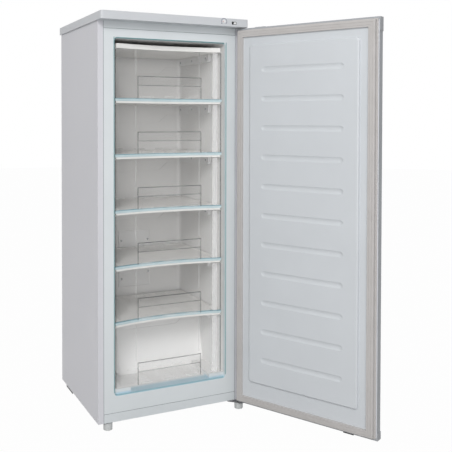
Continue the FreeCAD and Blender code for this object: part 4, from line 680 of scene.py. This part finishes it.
@dataclass(frozen=True)
class SoftSeal:
    """Flexible seal: matt, faintly dusty, with a fine grain.

    Attributes:
        dust: colour of the dusty patches.
        dust_share: how far they reach that colour.
        patch: patches per metre.
        rough_spread: how much the roughness varies.
        grain: fine texture, features per metre.
        grain_depth: its relief in metres.
        sheen: soft edge light of the rubber.
    """

    name: str
    colour: Colour
    dust: Colour
    rough: float = 0.62
    dust_share: float = 0.6
    patch: float = 16.0
    rough_spread: float = 0.08
    grain: float = 1400.0
    grain_depth: float = 0.00003
    sheen: float = 0.15

    def material(self) -> bpy.types.Material:
        """Build the finish."""
        desk = ShaderDesk(self.name)
        cloud = desk.noise(self.patch, detail=4.0)
        dusty = desk.spread(cloud, 0.0, self.dust_share, start=0.35, stop=0.75)
        colour = desk.blend_colours(dusty, self.colour, self.dust)
        desk.paint(colour)
        low, high = self.rough - self.rough_spread, self.rough + self.rough_spread
        desk.link(desk.spread(cloud, low, high), desk.shader.inputs["Roughness"])
        desk.link(desk.bump(desk.noise(self.grain), self.grain_depth), desk.shader.inputs["Normal"])
        desk.shader.inputs["Sheen Weight"].default_value = self.sheen
        return desk.material


@dataclass(frozen=True)
class ZincSheet:
    """Galvanised sheet with flat crystals of slightly different grey.

    Attributes:
        crystal: crystals per metre.
        shade: how much darker the darkest is.
        rough_below: how much smoother than rough a crystal can be.
        rough_above: how much rougher.
        grain: fine texture, features per metre.
        grain_depth: its relief in metres.
    """

    name: str
    colour: Colour
    crystal: float = 90.0
    rough: float = 0.42
    shade: float = 0.14
    rough_below: float = 0.08
    rough_above: float = 0.1
    grain: float = 600.0
    grain_depth: float = 0.00002
    metallic: float = 0.75

    def material(self) -> bpy.types.Material:
        """Build the finish."""
        desk = ShaderDesk(self.name)
        cells = desk.add("TexVoronoi", Scale=self.crystal, Randomness=1.0)
        desk.link(desk.place.outputs["Object"], cells.inputs["Vector"])
        tone = desk.add("SeparateColor")
        desk.link(cells.outputs["Color"], tone.inputs["Color"])
        darker = tuple(c * (1 - self.shade) for c in self.colour)
        colour = desk.blend_colours(tone.outputs["Red"], darker, self.colour)
        desk.paint(colour)
        low, high = self.rough - self.rough_below, self.rough + self.rough_above
        rough = desk.spread(tone.outputs["Green"], low, high, start=0.0, stop=1.0)
        desk.link(rough, desk.shader.inputs["Roughness"])
        desk.link(desk.bump(desk.noise(self.grain), self.grain_depth), desk.shader.inputs["Normal"])
        desk.shader.inputs["Metallic"].default_value = self.metallic
        return desk.material


@dataclass(frozen=True)
class DrawnMetal:
    """Drawn or turned metal with fine lines along one axis and dull patches.

    Attributes:
        lines: scale of the fine lines along X, Y and Z.
        shade: how much darker the patches are.
        patch: patches per metre.
        fine: fine lines per metre.
        rough_below: how much smoother than rough a line can be.
        rough_above: how much rougher.
        line_depth: relief of the lines in metres.
    """

    name: str
    colour: Colour
    rough: float = 0.3
    metallic: float = 1.0
    lines: Triple = (1.0, 1.0, 40.0)
    shade: float = 0.12
    patch: float = 40.0
    fine: float = 60.0
    rough_below: float = 0.06
    rough_above: float = 0.08
    line_depth: float = 0.00001

    def material(self) -> bpy.types.Material:
        """Build the finish."""
        desk = ShaderDesk(self.name)
        patch = desk.noise(self.patch, detail=3.0)
        darker = tuple(c * (1 - self.shade) for c in self.colour)
        colour = desk.blend_colours(desk.spread(patch, 0.0, 1.0), darker, self.colour)
        desk.paint(colour)
        fine = desk.noise(self.fine, stretch=self.lines)
        low, high = self.rough - self.rough_below, self.rough + self.rough_above
        desk.link(desk.spread(fine, low, high), desk.shader.inputs["Roughness"])
        desk.link(desk.bump(fine, self.line_depth), desk.shader.inputs["Normal"])
        desk.shader.inputs["Metallic"].default_value = self.metallic
        return desk.material


class Look(Enum):
    """The finishes of the freezer, by the part that wears them."""

    CABINET_PAINT = Coated("cabinet_paint", (0.845, 0.845, 0.865), shade=0.008, rough=0.4, specular=0.4,
                           seam_shade=True)
    FRONT_PAINT = Coated("front_paint", (0.845, 0.865, 0.875), shade=0.008, rough=0.4, specular=0.4,
                         seam_shade=True)
    DOOR_PAINT = DoorPaint("door_paint", (0.83, 0.835, 0.855), shade=0.008, rough=0.45, specular=0.12)
    LINER = ShadedLinerSheet("liner_sheet", (0.86, 0.88, 0.89), shade=0.008, rough=0.38, rough_spread=0.05,
                        grain=700.0, grain_depth=0.00002, wave=7.0, wave_depth=0.0001, seam_shade=True)
    DOOR_LINER = Coated("door_liner_sheet", (0.82, 0.835, 0.85), shade=0.008, rough=0.4, rough_spread=0.06,
                        grain=500.0, grain_depth=0.00003, wave=6.0, wave_depth=0.00012)
    WORKTOP = Coated("worktop_shell", (0.81, 0.82, 0.835), shade=0.008, rough=0.42, rough_spread=0.05,
                     grain=1400.0, grain_depth=0.00003)
    END_CAP = Coated("end_cap", (0.68, 0.69, 0.705), shade=0.012, rough=0.5, rough_spread=0.05,
                     grain=1400.0, grain_depth=0.00003, specular=0.15)
    SEAL = SoftSeal("door_seal", (0.765, 0.752, 0.745), dust=(0.73, 0.717, 0.707))
    TRIM = TintedTrim("shelf_trim", (0.77, 0.84, 0.855), shade=0.015, rough=0.28, rough_spread=0.05,
                      grain=800.0, grain_depth=0.00002)
    PLATE = Coated("plate_enamel", (0.93, 0.925, 0.915), shade=0.015, rough=0.4, rough_spread=0.06,
                   grain=500.0, grain_depth=0.00005)
    FITTING = Coated("white_fitting", (0.92, 0.92, 0.92), shade=0.015, rough=0.42, rough_spread=0.05,
                     grain=1200.0, grain_depth=0.00003)
    FOOT = Coated("foot_plastic", (0.80, 0.81, 0.81), shade=0.02, rough=0.45, rough_spread=0.05,
                  grain=1200.0, grain_depth=0.00003)
    DARK_FITTING = Coated("dark_fitting", (0.12, 0.12, 0.135), shade=0.06, rough=0.5, rough_spread=0.08,
                          grain=1200.0, grain_depth=0.00004)
    DARK_PAINT = Coated("dark_paint", (0.16, 0.155, 0.165), shade=0.06, rough=0.42, rough_spread=0.08,
                        grain=700.0, grain_depth=0.00004, coat=0.1)
    HINGE_STEEL = Coated("hinge_steel", (0.42, 0.42, 0.43), shade=0.03, rough=0.4, rough_spread=0.06,
                         grain=700.0, grain_depth=0.00003, metallic=0.3)
    DARK_RUBBER = SoftSeal("dark_rubber", (0.16, 0.135, 0.135), dust=(0.22, 0.2, 0.2), rough=0.75)
    ZINC = ZincSheet("zinc_sheet", (0.74, 0.75, 0.76))
    COPPER = DrawnMetal("copper_tube", (0.80, 0.52, 0.40), rough=0.34)
    ALUMINIUM = DrawnMetal("aluminium_tube", (0.80, 0.81, 0.82), rough=0.38)
    BRIGHT = DrawnMetal("bright_steel", (0.80, 0.81, 0.82), rough=0.24)
    FOAM = Coated("foam", (0.88, 0.82, 0.64), shade=0.04, rough=0.8, rough_spread=0.05, grain=260.0,
                  grain_depth=0.0004)
    PRINT = Coated("dial_print", (0.36, 0.37, 0.47), shade=0.03, rough=0.5)
    PRINT_DOT = Coated("dial_dot", (0.74, 0.42, 0.46), shade=0.03, rough=0.5)


_made: dict[Look, bpy.types.Material] = {}


def finish(look: Look) -> bpy.types.Material:
    """Return the material of a finish, made once."""
    if look not in _made:
        _made[look] = look.value.material()
    return _made[look]


def dress(names: Iterable[str], look: Look) -> None:
    """Give CAD nodes a finish.

    Args:
        names: the nodes.
        look: their finish.
    """
    for name in names:
        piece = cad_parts[name]
        piece.data.materials.clear()
        piece.data.materials.append(finish(look))
        log.info("dressed %s with %s", name, look.name)


def new_piece(name: str, mesh: bmesh.types.BMesh, coat: bpy.types.Material, body: str) -> bpy.types.Object:
    """Turn a bmesh into a piece that rides on a body.

    Args:
        name: the piece's name.
        mesh: its shape, in metres, in place. It is freed.
        coat: its material.
        body: the CAD body it moves with.

    Returns:
        The new object.
    """
    data = bpy.data.meshes.new(name)
    mesh.to_mesh(data)
    mesh.free()
    piece = bpy.data.objects.new(name, data)
    bpy.context.scene.collection.objects.link(piece)
    data.materials.append(coat)
    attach(piece, body)
    log.info("made %s, %d faces", name, len(data.polygons))
    return piece


# ------------------------------------------------------------------ sub-assemblies
@dataclass
class Cabinet:
    """Sheet-metal shell, foam and niche."""

    def build(self) -> None:
        """Dress the shell's nodes."""
        dress(["side_panel_left", "side_panel_right"], Look.CABINET_PAINT)
        dress(["top_sheet", "kick_rail"], Look.FRONT_PAINT)
        dress(["back_panel", "base_pan", "niche_panel"], Look.ZINC)
        dress(["cabinet_foam"], Look.FOAM)
        dress(["cabinet_screws"], Look.BRIGHT)


@dataclass
class WorktopUnit:
    """Worktop with the thermostat, its printed dial and the switch.

    Attributes:
        arc_radius: middle of the printed arc.
        line: width of the printed line.
        lift: thickness of the print.
        arc_from: start of the arc, degrees from +X.
        arc_turn: length of the arc in degrees.
        foot: length of the foot where the arc ends.
        dot: radius of the mark on the knob.
        dot_shift: how far left of the knob's middle the mark is.
    """

    arc_radius: float = 10.6 * MM
    line: float = 1.7 * MM
    lift: float = 0.08 * MM
    arc_from: float = -48.0
    arc_turn: float = 276.0
    foot: float = 5.0 * MM
    dot: float = 1.6 * MM
    dot_shift: float = 4.4 * MM

    def build(self) -> None:
        """Dress the worktop and add the dial's print."""
        dress(["worktop"], Look.WORKTOP)
        dress(["thermostat_body", "thermostat_knob", "freeze_switch_slider"], Look.FITTING)
        dress(["freeze_switch_body"], Look.DARK_FITTING)
        low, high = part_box("thermostat_knob")
        centre = Vector(((low[0] + high[0]) / 2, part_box("worktop")[0][1], (low[2] + high[2]) / 2))
        self.print_arc(centre)
        self.print_dot(Vector((centre.x - self.dot_shift, low[1], centre.z)))

    def print_arc(self, centre: Vector) -> None:
        """Print the line round the knob, with a short foot where it ends.

        Args:
            centre: the knob's middle, in the plane of the fascia.
        """
        mesh = bmesh.new()
        start = Matrix.Rotation(math.radians(-self.arc_from), 3, "Y")
        inner = mesh.verts.new(centre + start @ Vector((self.arc_radius - self.line / 2, 0, 0)))
        outer = mesh.verts.new(centre + start @ Vector((self.arc_radius + self.line / 2, 0, 0)))
        edge = mesh.edges.new((inner, outer))
        swept = bmesh.ops.spin(mesh, geom=[inner, outer, edge], cent=centre, axis=(0, -1, 0),
                               angle=math.radians(self.arc_turn), steps=40, use_duplicate=False)
        last = [e for e in swept["geom_last"] if isinstance(e, bmesh.types.BMEdge)]
        grown = bmesh.ops.extrude_edge_only(mesh, edges=last)
        tips = [v for v in grown["geom"] if isinstance(v, bmesh.types.BMVert)]
        bmesh.ops.translate(mesh, verts=tips, vec=(-self.foot, 0, 0))
        self.thicken(mesh)
        new_piece("dial_print", mesh, finish(Look.PRINT), "cabinet")

    def print_dot(self, centre: Vector) -> None:
        """Print the mark on the knob's face.

        Args:
            centre: the mark's middle.
        """
        mesh = bmesh.new()
        turn = Matrix.Translation(centre) @ Matrix.Rotation(math.radians(90), 4, "X")
        bmesh.ops.create_circle(mesh, cap_ends=True, segments=24, radius=self.dot, matrix=turn)
        self.thicken(mesh)
        new_piece("knob_mark", mesh, finish(Look.PRINT_DOT), "knob")

    def thicken(self, mesh: bmesh.types.BMesh) -> None:
        """Give a flat print its thickness towards the front.

        Args:
            mesh: the print. It is changed.
        """
        grown = bmesh.ops.extrude_face_region(mesh, geom=mesh.faces[:])
        raised = [v for v in grown["geom"] if isinstance(v, bmesh.types.BMVert)]
        bmesh.ops.translate(mesh, verts=raised, vec=(0, -self.lift, 0))
        bmesh.ops.recalc_face_normals(mesh, faces=mesh.faces)


@dataclass
class ColdRoom:
    """Liner, evaporator plates with their trims, brackets and cover."""

    shelf_count: int = 5

    def build(self) -> None:
        """Dress the inside."""
        dress(["inner_liner"], Look.LINER)
        dress(["evaporator_plate_top"], Look.PLATE)
        dress([f"evaporator_shelf_{n}" for n in range(1, self.shelf_count + 1)], Look.PLATE)
        dress(["shelf_trims"], Look.TRIM)
        dress(["evaporator_tubes"], Look.ALUMINIUM)
        dress(["shelf_brackets_left", "shelf_brackets_right", "joint_cover"], Look.FITTING)
        dress(["interior_screws"], Look.BRIGHT)


@dataclass
class DrawerStack:
    """The clear drawers, each with marks at its own height.

    They cast no shadow and diffuse rays pass them, because a ray through many clear walls ends dark.

    Attributes:
        count: how many drawers there are.
    """

    count: int = 6

    def build(self) -> None:
        """Dress every drawer."""
        for number in range(1, self.count + 1):
            node = f"drawer_{number}"
            low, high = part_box(node)
            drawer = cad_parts[node]
            drawer.data.materials.clear()
            drawer.data.materials.append(ClearMoulding(f"{node}_clear", low[2], high[1]).material())
            drawer.visible_shadow = False
            drawer.visible_diffuse = False
            log.info("dressed %s with clear plastic", node)


@dataclass
class Door:
    """The insulated door with its seal and caps."""

    def build(self) -> None:
        """Dress the door."""
        dress(["door_skin"], Look.DOOR_PAINT)
        dress(["door_liner"], Look.DOOR_LINER)
        dress(["door_gasket"], Look.SEAL)
        dress(["door_cap_top", "door_cap_bottom"], Look.END_CAP)
        dress(["door_foam"], Look.FOAM)
        dress(["door_pad"], Look.DARK_RUBBER)
        dress(["hinge_bushes"], Look.FITTING)


@dataclass
class Carriers:
    """Hinge plates, pins, feet and rollers."""

    def build(self) -> None:
        """Dress what carries the cabinet and the door."""
        dress(["front_foot_left", "front_foot_right"], Look.FOOT)
        dress(["rear_roller_left", "rear_roller_right"], Look.DARK_FITTING)
        dress(["roller_brackets", "top_hinge_bracket"], Look.ZINC)
        dress(["roller_axles", "hinge_pins"], Look.BRIGHT)
        dress(["bottom_hinge_bracket"], Look.HINGE_STEEL)


@dataclass
class CoolingMachine:
    """Compressor, pipes and the wire condenser at the back."""

    def build(self) -> None:
        """Dress the machine."""
        dress(["compressor", "compressor_rail", "condenser_tube", "condenser_wires"], Look.DARK_PAINT)
        dress(["compressor_grommets"], Look.DARK_RUBBER)
        dress(["relay_cover", "condenser_brackets", "power_inlet"], Look.DARK_FITTING)
        dress(["filter_drier", "refrigerant_pipes"], Look.COPPER)


# ------------------------------------------------------------------ studio
@dataclass(frozen=True)
class Lamp:
    """A square soft lamp.

    Attributes:
        name: its name.
        place: where it hangs, in metres.
        size: its side.
        power: in watts.
    """

    name: str
    place: Triple
    size: float
    power: float


@dataclass
class Studio:
    """Pale floor, soft light and the camera of the photograph.

    Attributes:
        eye: the camera's place.
        heading: degrees from the back direction towards the right.
        tilt: degrees upwards.
        roll: degrees, turned about the view.
        lens: focal length in millimetres.
        sensor: width of the sensor in millimetres.
        shift: the picture's centre against the lens axis, as shares of the width.
        floor_radius: radius of the floor.
        floor_white: the floor's own white.
        floor_glow: share of plain white that it shows.
        left_light: strength of the soft light from the left.
        right_light: its strength from the right.
        back_light: its strength from behind the freezer.
        top_light: its strength from above.
        front_span: sideways share of a direction, from all left_light to all right_light.
        back_span: backward share of it, from none to all back_light.
        top_span: upward share of it, from none to all top_light.
        lamps: the lamps in front.
        aim: the point that they face.
    """

    eye: Triple = (-0.98875, -2.33773, 1.05828)
    heading: float = 25.575
    tilt: float = -1.271
    roll: float = -0.088
    lens: float = 57.555
    sensor: float = 36.0
    shift: tuple[float, float] = (0.04536, -0.19848)
    floor_radius: float = 14.0
    floor_white: float = 0.66
    floor_glow: float = 0.98
    left_light: float = 0.40
    right_light: float = 0.12
    back_light: float = 0.74
    top_light: float = 0.7
    front_span: tuple[float, float] = (-0.8, 0.6)
    back_span: tuple[float, float] = (0.0, 0.5)
    top_span: tuple[float, float] = (0.5, 0.95)
    lamps: tuple[Lamp, ...] = (Lamp("key_lamp", (-2.1, -3.7, 3.1), 1.5, 100.0),
                               Lamp("low_lamp", (-1.5, -4.7, 1.3), 2.2, 56.0))
    aim: Triple = (0.0, 0.0, 0.75)

    def build(self) -> None:
        """Set up floor, world, lamps and camera."""
        self.lay_floor()
        self.light_world()
        for lamp in self.lamps:
            self.hang(lamp)
        self.set_camera()
        bpy.context.scene.view_settings.view_transform = "Standard"

    def strongest(self, tree: bpy.types.NodeTree, values: list[Socket]) -> Socket:
        """Take the largest of several values.

        Args:
            tree: the tree to add the nodes to.
            values: the sockets to compare.

        Returns:
            The socket with the largest value.
        """
        last = values[0]
        for other in values[1:]:
            either = tree.nodes.new("ShaderNodeMath")
            either.operation = "MAXIMUM"
            tree.links.new(last, either.inputs[0])
            tree.links.new(other, either.inputs[1])
            last = either.outputs["Value"]
        return last

    def seen_directly(self, tree: bpy.types.NodeTree) -> Socket:
        """Mark the rays that show a background: of the camera, a reflection or clear plastic.

        Args:
            tree: the tree to add the nodes to.

        Returns:
            The socket with 1 for such a ray, else 0.
        """
        path = tree.nodes.new("ShaderNodeLightPath")
        kinds = ("Is Camera Ray", "Is Glossy Ray", "Is Transmission Ray")
        return self.strongest(tree, [path.outputs[kind] for kind in kinds])

    def lay_floor(self) -> None:
        """Lay a round floor that shows almost white to the camera and keeps a soft shadow."""
        mesh = bmesh.new()
        bmesh.ops.create_circle(mesh, cap_ends=True, segments=64, radius=self.floor_radius)
        data = bpy.data.meshes.new("floor")
        mesh.to_mesh(data)
        mesh.free()
        floor = bpy.data.objects.new("floor", data)
        bpy.context.scene.collection.objects.link(floor)
        desk = ShaderDesk("floor_white")
        desk.shader.inputs["Base Color"].default_value = linear((self.floor_white,) * 3)
        desk.shader.inputs["Roughness"].default_value = 0.9
        glow = desk.add("Emission", Strength=1.0, Color=(1, 1, 1, 1))
        share = desk.math("MULTIPLY", self.seen_directly(desk.tree), self.floor_glow)
        mix = desk.add("MixShader")
        desk.link(share, mix.inputs["Fac"])
        desk.link(desk.shader.outputs["BSDF"], mix.inputs[1])
        desk.link(glow.outputs["Emission"], mix.inputs[2])
        desk.link(mix.outputs["Shader"], desk.output.inputs["Surface"])
        data.materials.append(desk.material)

    def light_world(self) -> None:
        """Soft light, stronger from the left, and white where the background shows."""
        world = bpy.data.worlds.new("studio")
        bpy.context.scene.world = world
        world.use_nodes = True
        tree = world.node_tree
        tree.nodes.clear()
        output = tree.nodes.new("ShaderNodeOutputWorld")
        place = tree.nodes.new("ShaderNodeTexCoord")
        split = tree.nodes.new("ShaderNodeSeparateXYZ")
        tree.links.new(place.outputs["Generated"], split.inputs["Vector"])
        front = self.ramp(tree, split.outputs["X"], self.front_span, (self.left_light, self.right_light))
        behind = self.ramp(tree, split.outputs["Y"], self.back_span, (0.0, self.back_light))
        above = self.ramp(tree, split.outputs["Z"], self.top_span, (0.0, self.top_light))
        dim = tree.nodes.new("ShaderNodeBackground")
        tree.links.new(self.strongest(tree, [front, behind, above]), dim.inputs["Strength"])
        white = tree.nodes.new("ShaderNodeBackground")
        dim.inputs["Color"].default_value = (1, 1, 1, 1)
        white.inputs["Color"].default_value = (1, 1, 1, 1)
        white.inputs["Strength"].default_value = 1.0
        mix = tree.nodes.new("ShaderNodeMixShader")
        tree.links.new(self.seen_directly(tree), mix.inputs["Fac"])
        tree.links.new(dim.outputs["Background"], mix.inputs[1])
        tree.links.new(white.outputs["Background"], mix.inputs[2])
        tree.links.new(mix.outputs["Shader"], output.inputs["Surface"])

    def ramp(self, tree: bpy.types.NodeTree, value: Socket, span: tuple[float, float],
             result: tuple[float, float]) -> Socket:
        """Map a value from one span to another, clamped.

        Args:
            tree: the tree to add the node to.
            value: the socket with the value.
            span: where it starts and stops.
            result: what these become.

        Returns:
            The socket with the mapped value.
        """
        node = tree.nodes.new("ShaderNodeMapRange")
        node.inputs["From Min"].default_value, node.inputs["From Max"].default_value = span
        node.inputs["To Min"].default_value, node.inputs["To Max"].default_value = result
        tree.links.new(value, node.inputs["Value"])
        return node.outputs["Result"]

    def hang(self, lamp: Lamp) -> None:
        """Hang a lamp so that it faces the freezer's middle.

        Args:
            lamp: the lamp.
        """
        light = bpy.data.lights.new(lamp.name, "AREA")
        light.shape = "SQUARE"
        light.size = lamp.size
        light.energy = lamp.power
        holder = bpy.data.objects.new(lamp.name, light)
        bpy.context.scene.collection.objects.link(holder)
        turn = (Vector(self.aim) - Vector(lamp.place)).to_track_quat("-Z", "Y").to_matrix().to_4x4()
        holder.matrix_world = Matrix.Translation(lamp.place) @ turn

    def set_camera(self) -> None:
        """Place the camera where the photograph was taken from."""
        lens = bpy.data.cameras.new("camera")
        lens.sensor_width = self.sensor
        lens.lens = self.lens
        lens.shift_x, lens.shift_y = self.shift
        camera = bpy.data.objects.new("camera", lens)
        bpy.context.scene.collection.objects.link(camera)
        turn = Matrix.Rotation(math.radians(-self.heading), 4, "Z")
        lift = Matrix.Rotation(math.radians(90.0 + self.tilt), 4, "X")
        roll = Matrix.Rotation(math.radians(-self.roll), 4, "Z")
        camera.matrix_world = Matrix.Translation(self.eye) @ turn @ lift @ roll
        bpy.context.scene.camera = camera


def main() -> None:
    """Build every sub-assembly, then the studio."""
    logging.basicConfig(level=logging.INFO, format="%(name)s: %(message)s")
    for part in (Cabinet(), WorktopUnit(), ColdRoom(), DrawerStack(), Door(), Carriers(), CoolingMachine()):
        part.build()
        log.info("%s done", type(part).__name__)
    Studio().build()


if __name__ == "__main__":
    main()
